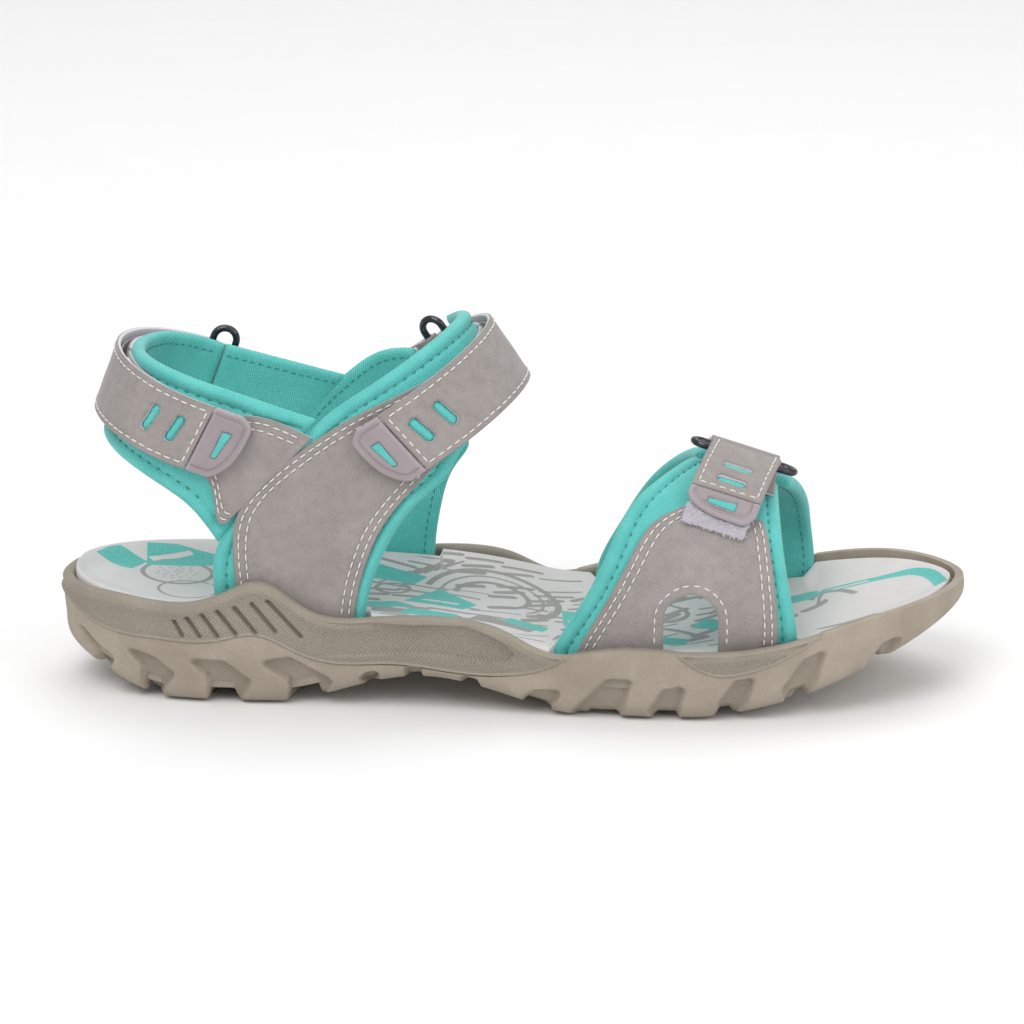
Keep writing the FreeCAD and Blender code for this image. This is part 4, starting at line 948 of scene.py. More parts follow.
def footbed():
    """The printed cover with its rolled edge, lying in a shallow dish of foam."""
    cover_thickness, gap, foam_depth, roll_radius = 0.8, 0.1, 6.0, 1.6
    close = np.array([0, 0.002, 0.006, 0.012])
    share = np.concatenate([close, np.linspace(0.02, 0.98, 119), 1 - close[::-1]])
    edges = [points + normals * footbed_edge(side)[:, None]
             for side, (points, normals, _) in enumerate(SIDES)]
    a, b = edges[LATERAL][3:-3, None], edges[MEDIAL][3:-3, None]
    flat = a + (b - a) * share[None, :, None]
    x, y = flat[..., 0], flat[..., 1]
    width = np.linalg.norm(b - a, axis=-1)
    near = np.minimum(share, 1 - share)[None] * width
    ends = np.minimum(x - a[0, 0, 0], a[-1, 0, 0] - x)
    near = np.minimum(near, ends + 0.3 * width)
    cup = (1.5 + 1.6 * smoothstep(-4, 10, y)) * smoothstep(-10, -90, x) + 1.2 * smoothstep(70, 100, x)
    dish = cup * smoothstep(16, 2, near) + 0.8 * smoothstep(12, 2, near)
    arch = 2.4 * smoothstep(4, 30, y) * ridge(x + 24, 34)
    ball = -0.5 * ridge(np.hypot(x - 48, y), 26) - 0.6 * ridge(np.hypot(x + 95, y), 22)
    roll = -roll_radius * (1 - rounded(near, roll_radius))
    top = footbed_height(x) + dish + arch + ball + roll
    grey, teal = print_shapes(x, y)
    border = 3.2 - near
    grey = np.maximum(grey, border)
    teal = np.maximum(teal, np.minimum(border, np.where(x > 104, -1, NO_PRINT)))
    count = len(share)
    cover_floor, foam_top = top - cover_thickness, top - cover_thickness - gap
    for name, node, material, high, low in (
            ("footbed_cover", "footbed_cover", FOOTBED_PRINT, top, cover_floor),
            ("footbed_foam", "footbed", FOOTBED_FOAM, foam_top, footbed_height(x) - foam_depth)):
        upper_face = np.concatenate([flat, high[..., None]], -1)
        lower_face = np.concatenate([flat, np.minimum(low, high - 0.3)[..., None]], -1)
        ring = np.concatenate([upper_face, lower_face[:, ::-1]], 1)
        index = np.arange(ring[..., 0].size).reshape(ring.shape[:2])
        wrapped = np.concatenate([index, index[:, :1]], 1)
        caps = [np.stack([line[:count - 1], line[1:count], line[::-1][1:count], line[::-1][:count - 1]], -1)
                for line in (index[0], index[-1])]
        faces = np.concatenate([grid_faces(wrapped)] + caps)
        grey_field, teal_field = [np.concatenate([f, f[:, ::-1]], 1).ravel() for f in (grey, teal)]
        make(name, ring.reshape(-1, 3), faces, [material], slot=node, stands_for=[node],
             path=ring.reshape(-1, 3), grey_print=grey_field, teal_print=teal_field)


footbed()


# ---------------------------------------------------------------- loops: the paths round the foot

class Loop:
    """A path up the outer side of the foot, over half an ellipse, and down the inner side."""

    def __init__(self, centre, angle, across, reach, half_width, base=None):
        rise = math.radians(angle)
        self.centre = np.array(centre, float)
        self.along = np.array((math.cos(rise), 0, math.sin(rise)))
        self.across = np.array((-math.sin(rise), 0, math.cos(rise))) * across
        self.reach, self.half_width, self.base = reach, half_width, base
        total = 3 * (reach + half_width) - math.sqrt((3 * reach + half_width) * (reach + 3 * half_width))
        self.length = total * math.pi / 2

    def forward_of(self, a):
        turn = math.pi * np.clip(a, 0, self.length) / self.length
        return self.reach * np.sin(turn) + np.minimum(np.minimum(a, self.length - a), 0)

    def at(self, a, w, n):
        a, w, n = np.broadcast_arrays(np.asarray(a, float), w, n)
        turn = math.pi * np.clip(a, 0, self.length) / self.length
        side = -np.cos(turn)
        size = np.hypot(self.half_width * np.sin(turn), self.reach * side)
        normal_x, normal_y = self.half_width * np.sin(turn) / size, self.reach * side / size
        forward = self.forward_of(a)
        spread = self.half_width * side + n * normal_y
        if self.base:
            x = self.centre[0] + self.along[0] * forward + self.across[0] * w
            low = 1 - smoothstep(-25, 10, forward)
            narrow = np.sign(side) * (self.half_width - self.base(x)) * low
            spread = spread - np.where(np.abs(a - self.length / 2) > self.length / 4, narrow, 0)
        out = (forward + n * normal_x)[..., None] * self.along + w[..., None] * self.across
        return self.centre + out + np.stack([np.zeros(a.shape), spread, np.zeros(a.shape)], -1)

    def outer(self, x, z):
        """Path coordinates of a point of the outer side, given as seen from the side."""
        offset = np.array((x, 0, z)) - self.centre
        up = offset @ self.along
        a = up if up < 0 else math.asin(up / self.reach) * self.length / math.pi
        return a, offset @ self.across

    def inner(self, x, z):
        a, w = self.outer(x, z)
        return self.length - a, w


INSTEP = Loop((-34.0, 0, 78.0), 34, 1, 35.7, 31.3)
HEEL = Loop((-91.9, 0, 83.1), 160, -1, 25.7, 31.3)
FOREFOOT = Loop((58.0, 0, 36.0), 72.4, -1, 31.0, 42.0, forefoot_base)
# The layers of the upper, as n of their inner and outer faces, and n of the ring bar's centre.
LINING = (-3.6, 0.0)
LEATHER = (0.1, 1.5)
LOOP_LAYER = (1.6, 2.6)
HOOK_LAYER, TAB_HOOK_LAYER = (2.9, 3.4), (3.3, 3.9)
INLAY_LAYER = (3.5, 3.9)
STRAP = (4.0, 5.4)
BAR_LIFT = 2.6
HEM = 1.8


def both(place, pairs):
    """Splits pairs of points into two edges. place gives the (a, w) of points written as ("xz", x, z)."""
    return [[place(*point[1:]) if point[0] == "xz" else point for point in edge] for edge in zip(*pairs)]


def mirrored(loop, pairs):
    """Splits pairs of points into two edges, on the inner side instead of the outer."""
    return [[(loop.length - a, w) for a, w in edge] for edge in zip(*pairs)]


# Pieces of the upper, as pairs of points on their two long edges.
OUTER_QUARTER = [
    (("xz", -42.5, 22), ("xz", -87, 22)), (("xz", -41.5, 31), ("xz", -87, 34)),
    (("xz", -38.3, 42), ("xz", -86, 47)), (("xz", -32.3, 54), ("xz", -76, 62)),
    (("xz", -25.5, 62.5), ("xz", -65.5, 74)), (("xz", -17.5, 70), ("xz", -55, 86)),
    ((17, -12), (2, 19.2)), ((29, -10.8), (22, 18.8)), ((48, -10), (48, 17.8)), ((74, -10), (74, 16.2)),
]
OUTER_QUARTER_PANEL = [
    (("xz", -45.5, 23.5), ("xz", -79, 23.5)), (("xz", -44.2, 34), ("xz", -80.6, 40)),
    (("xz", -41, 45.4), ("xz", -80.6, 54)), (("xz", -35, 57.5), ("xz", -73.6, 66.6)),
    (("xz", -25, 69.2), ("xz", -55, 81.7)), ((16, -9), (4, 13.6)), ((33, -8), (24, 10.6)),
    ((57.5, -8), (57.5, 10.4)),
]
# The outer rear panel's edges start at (x, z) and go on as (a, w).
REAR_PANEL_STARTS = [(-82.7, 55.6), (-57, 81.6)]
REAR_PANEL_LOW = [(-14.8, -22.5), (-9.8, -13.4), (2, -9.4), (22, -9.4), (40, -9.4)]
REAR_PANEL_HIGH = [(-19, 11.4), (-8, 9.2), (8, 9.2), (24, 9.2), (40, 9.2)]
HEEL_PAD = [
    (("xz", -85.6, 48.8), (-32.5, 15.5)), (("xz", -94, 60), (-15, 15)), ((8, -19), (6, 14.5)),
    ((25, -18), (25, 13)), ((45, -18), (45, 11.5)), ((64, -17), (64, 12)), ((89.2, -14), (89.2, 11.8)),
]
INNER_QUARTER = [
    (("xz", -25, 22), ("xz", -82, 22)), (("xz", -24.5, 34), ("xz", -82.5, 36)),
    (("xz", -22.5, 46), ("xz", -82, 46)), (("xz", -19, 56), ("xz", -73, 59.5)),
    (("xz", -14, 64), ("xz", -65, 71.5)), ((97, -17.5), ("xz", -55, 82.5)), ((95.6, -15), (105, 16.5)),
    ((93.8, -11), (93.8, 11.5)),
]
INNER_QUARTER_PANEL = [
    (("xz", -30, 23.5), ("xz", -77, 23.5)), (("xz", -29.5, 36), ("xz", -77.5, 38)),
    (("xz", -27, 48), ("xz", -75.5, 50)), (("xz", -23, 58), ("xz", -67, 61)),
    (("xz", -18, 66), ("xz", -58, 71.5)), ((97, -13), (108, 11.5)), ((94.2, -9), (94.2, 11)),
]
INNER_COLLAR = [((89.4, -14), (89.4, 12)), ((101, -21), (106, 13.5)), ((114.5, -31.5), (127, 15.6))]
INNER_REAR_PANEL = [((95.9, -11), (95.9, 9.5)), ((104, -16.5), (109, 9.8)), ((111.5, -25), (120.5, 10.5))]
OUTER_FOREFOOT = [
    ((-35.2, -35), (-11.5, 31.2)), ((-28.5, -37), (-7, 30.6)), ((-6, -32.6), (3, 27)),
    ((19.9, -30), (21, 19.6)), ((37.7, -23), (40, 14.6)), ((55.5, -14), (55.5, 13)),
]
OUTER_FOREFOOT_PANEL = [
    ((-33.5, -29.5), (-13.5, 26.3)), ((-26, -30.5), (-9, 25.4)), ((-5, -26.5), (3, 21.5)),
    ((16, -23), (18, 15.8)), ((26, -16.5), (26, 12.8)), ((32, -11), (32, 10)),
]
INNER_FOREFOOT = [
    ((-32.2, -25.5), (-9, 36.9)), ((-20, -27.5), (-4.5, 36.3)), ((-5, -24.5), (3, 34.6)),
    ((12, -20.7), (15, 30.5)), ((30, -15.5), (30, 25.5)), ((46.4, -12), (46.4, 17.5)),
]
INNER_FOREFOOT_PANEL = [
    ((-31, -20), (-11, 31.4)), ((-18, -21.5), (-6, 30.8)), ((-4, -18.5), (3, 28.6)),
    ((12, -15), (15, 24.6)), ((30, -11.5), (28, 19.5)), ((46, -9), (46, 13)),
]
# The opening in the outer side of the forefoot: the centre of its round top, and its radius.
OPENING_X, OPENING_Z, OPENING_RADIUS = 54.0, 30.3, 8.0


def arch_opening(a, w):
    """Distance to the opening in the outer side of the forefoot, negative inside it."""
    spot = FOREFOOT.at(a, w, 0.0)
    x, z = spot[..., 0] - OPENING_X, spot[..., 2] - OPENING_Z
    round_top = np.hypot(x, z) - OPENING_RADIUS
    shaft = np.maximum(np.abs(x) - OPENING_RADIUS, z)
    return np.minimum(round_top, shaft)


def line_round_opening():
    """The row of stitches round the opening, up one side, over the top and down the other."""
    reach, legs = OPENING_RADIUS + 2.6, np.linspace(22.5, 30, 12)
    turn = np.linspace(math.pi, 0, 40)
    left, right = np.full(len(legs), OPENING_X - reach), np.full(len(legs), OPENING_X + reach)
    x = np.concatenate([left, OPENING_X + reach * np.cos(turn), right])
    z = np.concatenate([legs, OPENING_Z + reach * np.sin(turn), legs[::-1]])
    return np.array([FOREFOOT.outer(*spot) for spot in zip(x, z)])


def inset_lines(low, high, distances, ends):
    """Lines inside a piece, at distances from its low edge and then from its high edge."""
    t = np.linspace(*ends, 40)
    a, b = through(low)(t), through(high)(t)
    inward = unit(b - a)
    return [a + inward * d for d in distances] + [b - inward * d for d in distances]


def lining(name, loop, edges, hole=None, dip=0.0):
    """A padded lining: a soft rolled edge, a sewn-down seam line, and small puckers along it.

    dip is how far its outer face sinks at both ends.
    """
    seam_at, inner_seam_at = 4.2, 3.2

    def relief(a, w, across, lengthways):
        inner = smoothstep(0, 3, lengthways)
        roll = 0.55 * ridge(across - 2.0, 1.5)
        seam = -0.5 * ridge(across - seam_at, 0.5)
        wrinkles = np.sin(a * 2 * math.pi / 3.1 + np.sin(a * 0.7))
        pucker = 0.09 * wrinkles * ridge(across - seam_at + 0.6, 1.4)
        return (roll + seam + pucker) * inner - dip * smoothstep(10, 6, lengthways)

    piece = sheet(name, loop.at, *edges, LINING, [TEAL, TEAL], edge=1.9, margins=(3.0, 3.7, 4.3, 5.2),
                  step=1.1, row_step=0.8, relief=relief, hole=hole, rim=0.8, slot="lining", stands_for=[name])
    lines = inset_lines(*edges, [seam_at], (0.14, 0.88) if dip else (0.02, 0.98))
    stitching(name + "_seam", loop.at, lines, TEAL_THREAD, LINING[1] - 0.32, pitch=3.4, thread=0.5, gap=1.9,
              slot="lining")
    inner_lines = inset_lines(*edges, [inner_seam_at], (0.02, 0.98))
    stitching(name + "_inner_seam", loop.at, inner_lines, TEAL_THREAD, LINING[0] - 0.15, pitch=2.4,
              thread=0.5, gap=0.9, slot="lining")


def panel(area, loop, edges, distances=(HEM, 4.0), ends=(0.05, 0.97), hole=None, more_lines=()):
    """A nubuck panel with rows of stitches at distances from both long edges."""

    def relief(a, w, across, lengthways):
        sewn = sum(-0.26 * ridge(across - distance, 0.45) for distance in distances)
        wave = 0.10 * np.sin(a * 0.31 + 1.3 * np.sin(w * 0.23)) * np.sin(w * 0.29 + 0.8)
        return sewn + wave * smoothstep(0, 6, across)

    name = area + "_panel"
    grooves = (1.45, 1.8, 2.15, 3.65, 4.0, 4.35)
    sheet(name, loop.at, *edges, LEATHER, [NUBUCK, BACKING], edge=0.4, margins=grooves, step=1.1,
          row_step=0.9, relief=relief, hole=hole, rim=0.25, slot="nubuck", stands_for=[name])
    lines = inset_lines(*edges, distances, ends)
    if hole:
        lines = keep_outside(lines, hole, 2.0)
    stitching(area + "_stitching", loop.at, lines + list(more_lines), THREAD, LEATHER[1], slot="nubuck")


def keep_outside(lines, hole, margin):
    """Cuts lines where they would cross an opening."""
    kept = []
    for line in lines:
        outside = hole(line[:, 0], line[:, 1]) > margin
        runs = np.split(np.arange(len(line)), np.nonzero(np.diff(outside.astype(int)))[0] + 1)
        kept += [line[run] for run in runs if outside[run[0]] and len(run) > 3]
    return kept


def upper():
    """The linings and panels, with their seams."""
    lining("lateral_quarter_lining", INSTEP, both(INSTEP.outer, OUTER_QUARTER))
    panel("lateral_quarter", INSTEP, both(INSTEP.outer, OUTER_QUARTER_PANEL))

    lining("heel_pad", HEEL, both(HEEL.outer, HEEL_PAD), dip=1.0)
    low_start, high_start = [HEEL.outer(x, z) for x, z in REAR_PANEL_STARTS]
    rear_edges = [low_start] + REAR_PANEL_LOW, [high_start] + REAR_PANEL_HIGH
    panel("lateral_rear", HEEL, rear_edges, ends=(0.04, 0.98))

    lining("medial_quarter_lining", INSTEP, both(INSTEP.inner, INNER_QUARTER))
    panel("medial_quarter", INSTEP, both(INSTEP.inner, INNER_QUARTER_PANEL))
    lining("medial_collar_lining", HEEL, both(HEEL.inner, INNER_COLLAR), dip=1.0)
    panel("medial_rear", HEEL, both(HEEL.inner, INNER_REAR_PANEL), distances=(HEM,), ends=(0.02, 0.98))

    lining("lateral_forefoot_lining", FOREFOOT, both(FOREFOOT.outer, OUTER_FOREFOOT), hole=arch_opening)
    panel("lateral_forefoot", FOREFOOT, both(FOREFOOT.outer, OUTER_FOREFOOT_PANEL), ends=(0.06, 0.98),
          hole=arch_opening, more_lines=[line_round_opening()])
    lining("medial_forefoot_lining", FOREFOOT, mirrored(FOREFOOT, INNER_FOREFOOT))
    panel("medial_forefoot", FOREFOOT, mirrored(FOREFOOT, INNER_FOREFOOT_PANEL), ends=(0.06, 0.98))


upper()


# ---------------------------------------------------------------- straps, rings and tabs

TAB_THICKNESS, RING_PITCH, ANCHOR_LENGTH = 1.7, 7.0, 13.0
FOLD_RADIUS = (STRAP[0] + STRAP[1]) / 2 - BAR_LIFT
SLOT_LENGTH, SLOT_WIDTH = 9.0, 2.6
# How much of the tab's slant the strap's end and the tab's root have.
ROOT_LEAN = 0.5
# The tab's rounded edge, the lower border inside it, and how deep the wedge in its middle is sunk.
TAB_ROUND, TAB_BORDER, WEDGE_DEPTH = 0.8, 1.9, 0.95
PILE_PER_AREA, FIBRE_RADIUS = 18, 0.06


def rectangle(start, end, low, high):
    """The two long edges of a straight strip."""
    return [(start, low), (end, low)], [(start, high), (end, high)]


class Strap:
    """One hook-and-loop strap: the fixed base, the closing strap folded round the ring, its tab and tapes.

    centre is the w of its middle line. base_start, bar, tab_root, tab_end, patch and slots are places along
    the path: the base's start, the ring's bar, both ends of the tab, the loop tape, and the two slots. slant
    turns the slots and the tab's root, skew sets the tab's end at an angle, and drift leans the strap
    towards the heel on its way down.
    """

    def __init__(self, name, loop, width, centre, base_start, bar, tab_root, tab_end, patch, slots, skew,
                 drift=0.0, slant=0.0):
        self.name, self.loop, self.width, self.centre = name, loop, width, centre
        self.base_start, self.bar = base_start, bar
        self.drift, self.slant = drift, slant
        self.tab_root, self.tab_end = tab_root, tab_end
        self.patch, self.slots, self.skew = patch, slots, skew
        self.low, self.high = centre - width / 2, centre + width / 2
        self.forward, self.outward, self.hub = self.axes(bar)
        self.anchor_bar = self.one_pitch_after(bar)

    def axes(self, a):
        """The path's direction, the way outwards, and the ring bar's centre at w 0."""
        forward = self.loop.at(a + 0.01, 0, 0) - self.loop.at(a - 0.01, 0, 0)
        outward = self.loop.at(a, 0, 1) - self.loop.at(a, 0, 0)
        return unit(forward), outward, self.loop.at(a, 0, BAR_LIFT)

    def one_pitch_after(self, bar):
        """Where the ring's second bar lies, one pitch in a straight line from the first."""
        low, high = bar, bar + 2 * RING_PITCH
        for _ in range(40):
            middle = (low + high) / 2
            if np.linalg.norm(self.loop.at(middle, 0, BAR_LIFT) - self.hub) < RING_PITCH:
                low = middle
            else:
                high = middle
        return low

    def leaning(self, points):
        """A strap that drifts leans towards the heel as it comes down from its ring."""
        return points + self.loop.across * (self.drift * (points[..., 1:2] - self.hub[1]))

    def over(self, a, w, n):
        return self.leaning(self.loop.at(a, w, n))

    def cut_across(self, a, low, high):
        """Where a slanted cut across the strap at a meets two lines along it."""
        slope = math.tan(self.slant) * ROOT_LEAN
        return [(a - slope * (w - self.centre), w) for w in (low, high)]

    def folded(self, s, w, n):
        """A point of the closing strap: over the foot, and past the bar half round it."""
        s, w, n = np.broadcast_arrays(np.asarray(s, float), w, n)
        turn = np.clip((s - self.bar) / FOLD_RADIUS, 0, math.pi)
        reach = n - BAR_LIFT
        round_bar = (self.hub + (reach * np.sin(turn))[..., None] * self.forward
                     + (reach * np.cos(turn))[..., None] * self.outward + w[..., None] * self.loop.across)
        flat = self.loop.at(np.minimum(s, self.bar), w, n)
        return self.leaning(np.where((s > self.bar)[..., None], round_bar, flat))

    def anchored(self, s, w, n):
        """A point of the anchor: in along the top, half round the second bar, and back underneath."""
        forward, outward, hub = self.axes(self.anchor_bar)
        s, w, n = np.broadcast_arrays(np.asarray(s, float), w, n)
        half = math.pi * FOLD_RADIUS
        top_left = np.maximum(ANCHOR_LENGTH - s, 0)
        back = np.maximum(s - ANCHOR_LENGTH - half, 0)
        turn = np.clip((s - ANCHOR_LENGTH) / FOLD_RADIUS, 0, math.pi)
        settle = smoothstep(0, 6, top_left + back)
        top = self.loop.at(self.anchor_bar + top_left, w, 4.7 - 1.05 * settle + n)
        under = self.loop.at(self.anchor_bar + back, w, 0.5 + 1.75 * settle - n)
        reach = FOLD_RADIUS + n
        fold = (hub - (reach * np.sin(turn))[..., None] * forward
                + (reach * np.cos(turn))[..., None] * outward + w[..., None] * self.loop.across)
        folded = np.where((back > 0)[..., None], under, fold)
        return np.where((s <= ANCHOR_LENGTH)[..., None], top, folded)

    def slot_distance(self, a, w):
        angle = math.pi / 2 + self.slant
        return np.minimum.reduce([stadium_distance(a, w, (spot, self.centre), angle, SLOT_LENGTH, SLOT_WIDTH)
                                  for spot in self.slots])

    def sewn(self, a, w, across, lengthways):
        """Grooves under the stitches, and the slight waviness of a strap that has seen use."""
        wave = 0.12 * np.sin(a * 0.37 + 0.9 * np.sin(w * 0.3)) * np.sin(w * 0.26 + 1)
        return -0.12 * ridge(across - HEM, 0.45) + wave * smoothstep(0, 5, across)

    def piece(self, part, edges, layer, materials, place=None, **how):
        """A sheet of the strap, which stands for the CAD piece of the same name."""
        name = self.name + "_" + part
        sheet(name, place or self.over, *edges, layer, materials, stands_for=[name], **how)

    def build(self):
        self.base()
        self.strap()
        self.tab()
        self.tapes()
        self.anchor()
        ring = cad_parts[self.name + "_ring"]
        ring.data.materials.clear()
        ring.data.materials.append(RING)

    def base(self):
        """The part that lies still under the closing strap, and the short turn up to the ring."""
        end = self.bar - STRAP[1] + BAR_LIFT - 0.6
        self.piece("strap_base", rectangle(self.base_start, end, self.low + 0.5, self.high - 0.5), LEATHER,
                   [NUBUCK, BACKING], self.loop.at, step=1.5, slot="nubuck")

        def turning(a, w, n):
            return self.loop.at(a, w, n - 0.3 * smoothstep(end, self.bar, a))

        edges = rectangle(end + 0.05, self.bar - 0.1, self.low + 0.3, self.high - 0.3)
        turn = sheet(self.name + "_strap_turn", turning, *edges, LEATHER, [NUBUCK, BACKING], edge=0.3,
                     step=1.5, row_step=0.3, body=None, slot="nubuck")
        ends = [self.loop.at(a, self.centre, 0.8) * MM for a in (end + 0.1, self.bar - 0.2)]
        tuple(ends[0])
        tuple(ends[1])
        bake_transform(turn)

    def strap(self):
        """The closing strap with its stitches, the inlay under its slots, and its hook tape."""
        body, start = self.name + "_closing_strap", self.tab_root + 0.3
        end = self.bar + math.pi * FOLD_RADIUS
        corners = self.cut_across(start, self.low, self.high)
        edges = [corners[0], (end, self.low)], [corners[1], (end, self.high)]
        self.piece("strap", edges, STRAP, [NUBUCK, BACKING], self.folded, margins=(1.35, HEM, 2.25), step=0.5,
                   row_step=0.5, relief=self.sewn, hole=self.slot_distance, rim=0.35, body=body,
                   slot="nubuck")
        low, high = self.low + HEM, self.high - HEM
        corners = self.cut_across(start + 1.5, low, high)
        rows = [[corners[0], (end - 3, low)], [corners[1], (end - 3, high)], corners]
        stitching(self.name + "_strap_stitching", self.folded, rows, THREAD, STRAP[1], body=body,
                  slot="nubuck")

        def in_slots(a, w, across, lengthways):
            return 0.8 * smoothstep(-0.2, -0.6, self.slot_distance(a, w))

        inlay = rectangle(self.slots[0] - 4, self.slots[-1] + 4, self.centre - 7, self.centre + 7)
        self.piece("slot_inlay", inlay, INLAY_LAYER, [TEAL, TEAL], edge=0.15, step=0.5, row_step=0.5,
                   relief=in_slots, body=body, slot="inlay")
        hooks = rectangle(self.tab_root + 2, self.bar - 12, self.low + 2, self.high - 2)
        self.piece("strap_hooks", hooks, HOOK_LAYER, [HOOK_TAPE, HOOK_TAPE], edge=0.15, step=1.5,
                   row_step=1.5, body=body, slot="hook_tape")

    def tab_shape(self):
        """The tab's outline and its wedge, as distance functions of (a, w)."""
        middle = (self.tab_root + self.tab_end) / 2
        end, half, skew = self.tab_end - middle, self.width / 2, self.skew
        nose = [(end + 3.5, half), (end + 0.4, half * 0.8), (end, half * 0.45),
                (end + skew * 0.35, -half * 0.25), (end + 1.5 + skew * 0.8, -half * 0.8),
                (end + 3.5 + skew, -half)]
        past = self.tab_root - middle + 4
        outline = [(past, half)] + [tuple(p) for p in through(nose)(np.linspace(0, 1, 26))] + [(past, -half)]
        long = min(4.2, half)
        lean = math.tan(self.slant) * 0.8 * long
        shift = (self.tab_root - self.tab_end) * 0.04
        wedge = [(shift - 1.3 - lean, long), (shift + 1.3 - lean, long),
                 (shift + 0.65 + lean, -long), (shift - 0.65 + lean, -long)]

        def distance(corners):
            return lambda a, w: polygon_distance(a - middle, w - self.centre, corners)
        return distance(outline), distance(wedge), middle

    def tab(self):
        """The moulded pull tab, the teal wedge in its middle, and its own hook tape."""
        body = self.name + "_pull_tab"
        outline, wedge, middle = self.tab_shape()
        root = self.cut_across(self.tab_root, self.low - 1, self.high + 1)
        slope = math.tan(self.slant) * ROOT_LEAN

        def relief(a, w, across, lengthways):
            to_root = self.tab_root - slope * (w - self.centre) - a
            inside = np.minimum(-outline(a, w), to_root + TAB_BORDER)
            round_over = -0.75 * (1 - rounded(inside, TAB_ROUND))
            border = -0.3 * smoothstep(TAB_BORDER + 0.4, TAB_BORDER, inside)
            groove = -0.35 * ridge(inside - TAB_BORDER - 0.2, 0.3)
            to_wedge = wedge(a, w)
            sunk = -0.65 * smoothstep(0.3, 0.1, to_wedge) - 0.25 * ridge(to_wedge - 0.3, 0.25)
            return np.where(to_wedge < 0.9, sunk, round_over + border + groove)

        low, high = [(self.tab_end - 2, self.low - 1), root[0]], [(self.tab_end - 2, self.high + 1), root[1]]
        top = STRAP[0] + TAB_THICKNESS
        self.piece("tab", (low, high), (STRAP[0], top), [TAB, TAB], edge=0.2, step=0.28, row_step=0.28,
                   relief=relief, hole=lambda a, w: -outline(a, w), rim=0.01, body=body, slot="tab")
        floor = top - WEDGE_DEPTH
        inlay = rectangle(middle - 4, middle + 4, self.centre - 6.2, self.centre + 6.2)
        self.piece("tab_inlay", inlay, (floor + 0.05, floor + 0.6), [TEAL, TEAL], edge=0.3, step=0.3,
                   row_step=0.3, hole=lambda a, w: -wedge(a, w), rim=0.12, body=body, slot="inlay")
        hooks = rectangle(self.tab_end + 3 + self.skew, self.tab_root - 1.6, self.centre - 5, self.high - 2)
        self.piece("tab_hooks", hooks, TAB_HOOK_LAYER, [HOOK_TAPE, HOOK_TAPE], edge=0.15, body=body,
                   slot="hook_tape")

    def tapes(self):
        """The loop tape on the base, with its loose pile."""
        low, high = self.low + 1.5, self.high - 1.5

        def relief(a, w, across, lengthways):
            return 0.12 * np.sin(a * 3.1 + 2 * np.sin(w * 1.7)) * np.sin(w * 2.9 + 1.6 * np.sin(a * 1.3))

        start = self.patch[0] + (1.6 if self.drift else 0)
        self.piece("loop_tape", rectangle(start, self.patch[1], low, high), LOOP_LAYER,
                   [LOOP_TAPE, LOOP_TAPE], edge=0.3, step=0.7, row_step=0.7, relief=relief, slot="loop_tape")
        if self.patch[0] < self.tab_end + 3:
            self.pile(start, low, high)

    def pile(self, start, low, high):
        """Short curled fibres standing on the loop tape where the tab leaves it bare."""
        bare = (start - 0.4, self.tab_end + 3)
        count = int((bare[1] - bare[0]) * (high - low) * PILE_PER_AREA)
        a = random.uniform(*bare, count)
        w = random.uniform(low - 0.2, high + 0.2, count)
        heading = random.uniform(0, 2 * math.pi, count)
        reach = random.uniform(0.35, 1.2, count)
        share = np.array([-1, -0.4, 0.4, 1])
        line_a = a[:, None] + share * (reach * np.cos(heading))[:, None]
        line_w = w[:, None] + share * (reach * np.sin(heading))[:, None]
        lift = random.uniform(0.3, 1.0, count)[:, None] * (1 - share ** 2)[None] - 0.1
        spots = self.over(line_a, line_w, LOOP_LAYER[1] + lift)
        raised = self.over(line_a, line_w, LOOP_LAYER[1] + lift + 1) - spots
        forward = np.gradient(spots, axis=1)
        aside = unit(np.cross(raised, forward)) * FIBRE_RADIUS
        ring = np.stack([spots + aside, spots + raised * FIBRE_RADIUS * 1.6, spots - aside], 2)
        index = np.arange(ring[..., 0].size).reshape(ring.shape[:3])
        ends = np.concatenate([index[:, 0, ::-1], index[:, -1]])
        fibres(self.name + "_pile", ring.reshape(-1, 3), tube_faces(index), ends)

    def anchor(self):
        """The leather loop that holds the ring to the sandal, with its box of stitches."""
        length = 2 * ANCHOR_LENGTH + math.pi * FOLD_RADIUS
        self.piece("ring_anchor", rectangle(0, length, self.low, self.high), (-0.65, 0.65),
                   [NUBUCK, BACKING], self.anchored, step=1.1, row_step=0.45, slot="nubuck")
        left, right = self.anchor_bar + 5, self.anchor_bar + ANCHOR_LENGTH - 1.6
        low, high = self.low + HEM, self.high - HEM
        rows = [[(left, low), (right, low)], [(left, high), (right, high)], [(left, low), (left, high)],
                [(right, low), (right, high)], [(left, low), (right, high)], [(left, high), (right, low)]]
        stitching(self.name + "_anchor_stitching", self.loop.at, rows, THREAD, 4.3, pitch=2.4, gap=0.5,
                  slot="nubuck")


def fibres(name, points, quads, triangles):
    """Loose pile as one mesh of tiny closed strands."""
    mesh = bpy.data.meshes.new(name)
    mesh.from_pydata((points * MM).tolist(), [], quads.tolist() + triangles.tolist())
    mesh.materials.append(LOOP_TAPE)
    mesh.polygons.foreach_set("use_smooth", [True] * len(mesh.polygons))
    piece = bpy.data.objects.new(name, mesh)
    bpy.context.scene.collection.objects.link(piece)
    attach(piece, "sandal")


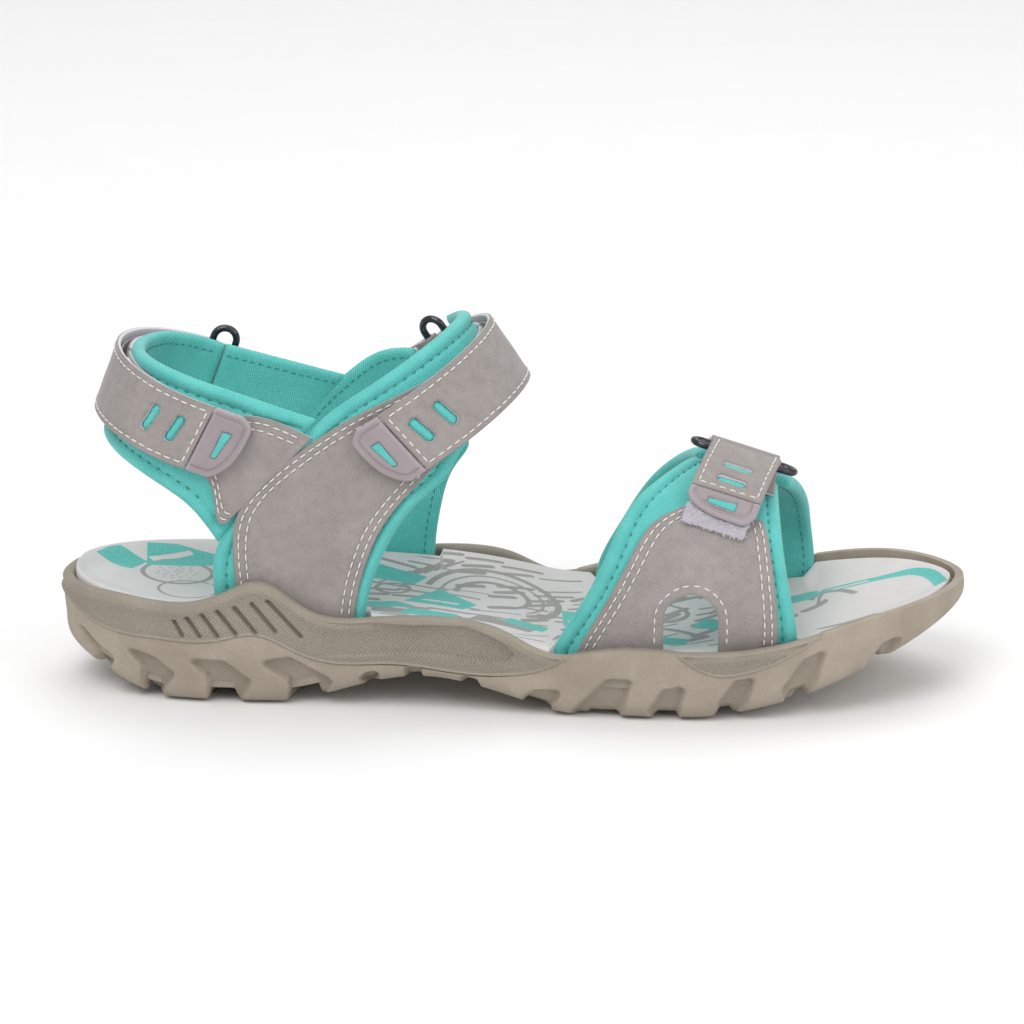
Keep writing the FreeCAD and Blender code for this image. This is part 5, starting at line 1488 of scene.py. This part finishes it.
STRAPS = [
    Strap("heel", HEEL, width=21.0, centre=0.0, base_start=40.6, bar=85.0, tab_root=-2.6, tab_end=-15.7,
          patch=(-7.5, 34), slots=(5, 12.5), skew=4.2, slant=0.24),
    Strap("instep", INSTEP, width=21.5, centre=0.75, base_start=58.0, bar=84.0, tab_root=3.8, tab_end=-7.5,
          patch=(-0.5, 48), slots=(9.8, 17.2), skew=4.5, slant=0.22),
    Strap("forefoot", FOREFOOT, width=21.5, centre=1.45, base_start=44.4, bar=59.5, tab_root=33.7, tab_end=26,
          patch=(21.5, 42.5), slots=(39.3, 45.9), skew=1.5, drift=0.15),
]
for strap in STRAPS:
    strap.build()

for node, material, slot in (("lasting_board", BOARD, "board"), ("arch_shank", SHANK, "shank")):
    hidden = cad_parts[node]
    hidden.data.materials.clear()
    hidden.data.materials.append(material)


# ---------------------------------------------------------------- floor, light and camera

# Soft lamps, as (name, place, width, power).
LAMPS = [("key", (-0.5, -1.1, 1.5), 1.2, 16), ("fill", (1.2, -0.9, 0.8), 1.2, 6.5),
         ("top", (0.1, 0.9, 1.6), 1.4, 11)]


def studio():
    """A pale floor, soft light from above and the front, and the camera."""
    mesh = bpy.data.meshes.new("floor")
    far = 6.0
    mesh.from_pydata([(-far, -far, 0), (far, -far, 0), (far, far, 0), (-far, far, 0)], [], [(0, 1, 2, 3)])
    floor = bpy.data.objects.new("floor", mesh)
    bpy.context.scene.collection.objects.link(floor)
    floor.location.z = -0.0005
    paper = Surface("floor_paper", 0.9)
    grain = paper.noise(30, 2)
    paper.colour(paper.mix(grain, (0.88, 0.88, 0.88, 1), (0.9, 0.9, 0.9, 1)))
    mesh.materials.append(paper.material)

    world = bpy.data.worlds.new("studio")
    world.use_nodes = True
    world.node_tree.nodes["Background"].inputs["Color"].default_value = (1, 1, 1, 1)
    world.node_tree.nodes["Background"].inputs["Strength"].default_value = 0.6
    bpy.context.scene.world = world
    target = Vector((0, 0, 0.05))
    for name, spot, width, power in LAMPS:
        light = bpy.data.lights.new(name, "AREA")
        light.shape, light.size, light.energy = "SQUARE", width, power
        lamp = bpy.data.objects.new(name, light)
        lamp.location = spot
        lamp.rotation_euler = (target - Vector(spot)).to_track_quat("-Z", "Y").to_euler()
        bpy.context.scene.collection.objects.link(lamp)

    aim, turn, lift, distance = Vector((0, 0, 0.0506)), math.radians(2.3), math.radians(16), 1.4
    back = Vector((math.sin(turn) * math.cos(lift), -math.cos(turn) * math.cos(lift), math.sin(lift)))
    data = bpy.data.cameras.new("camera")
    data.lens, data.sensor_width = 164, 36
    camera = bpy.data.objects.new("camera", data)
    camera.location = aim + back * distance
    camera.rotation_euler = (-back).to_track_quat("-Z", "Y").to_euler()
    bpy.context.scene.collection.objects.link(camera)
    bpy.context.scene.camera = camera
    bpy.context.scene.view_settings.view_transform = "Standard"


studio()
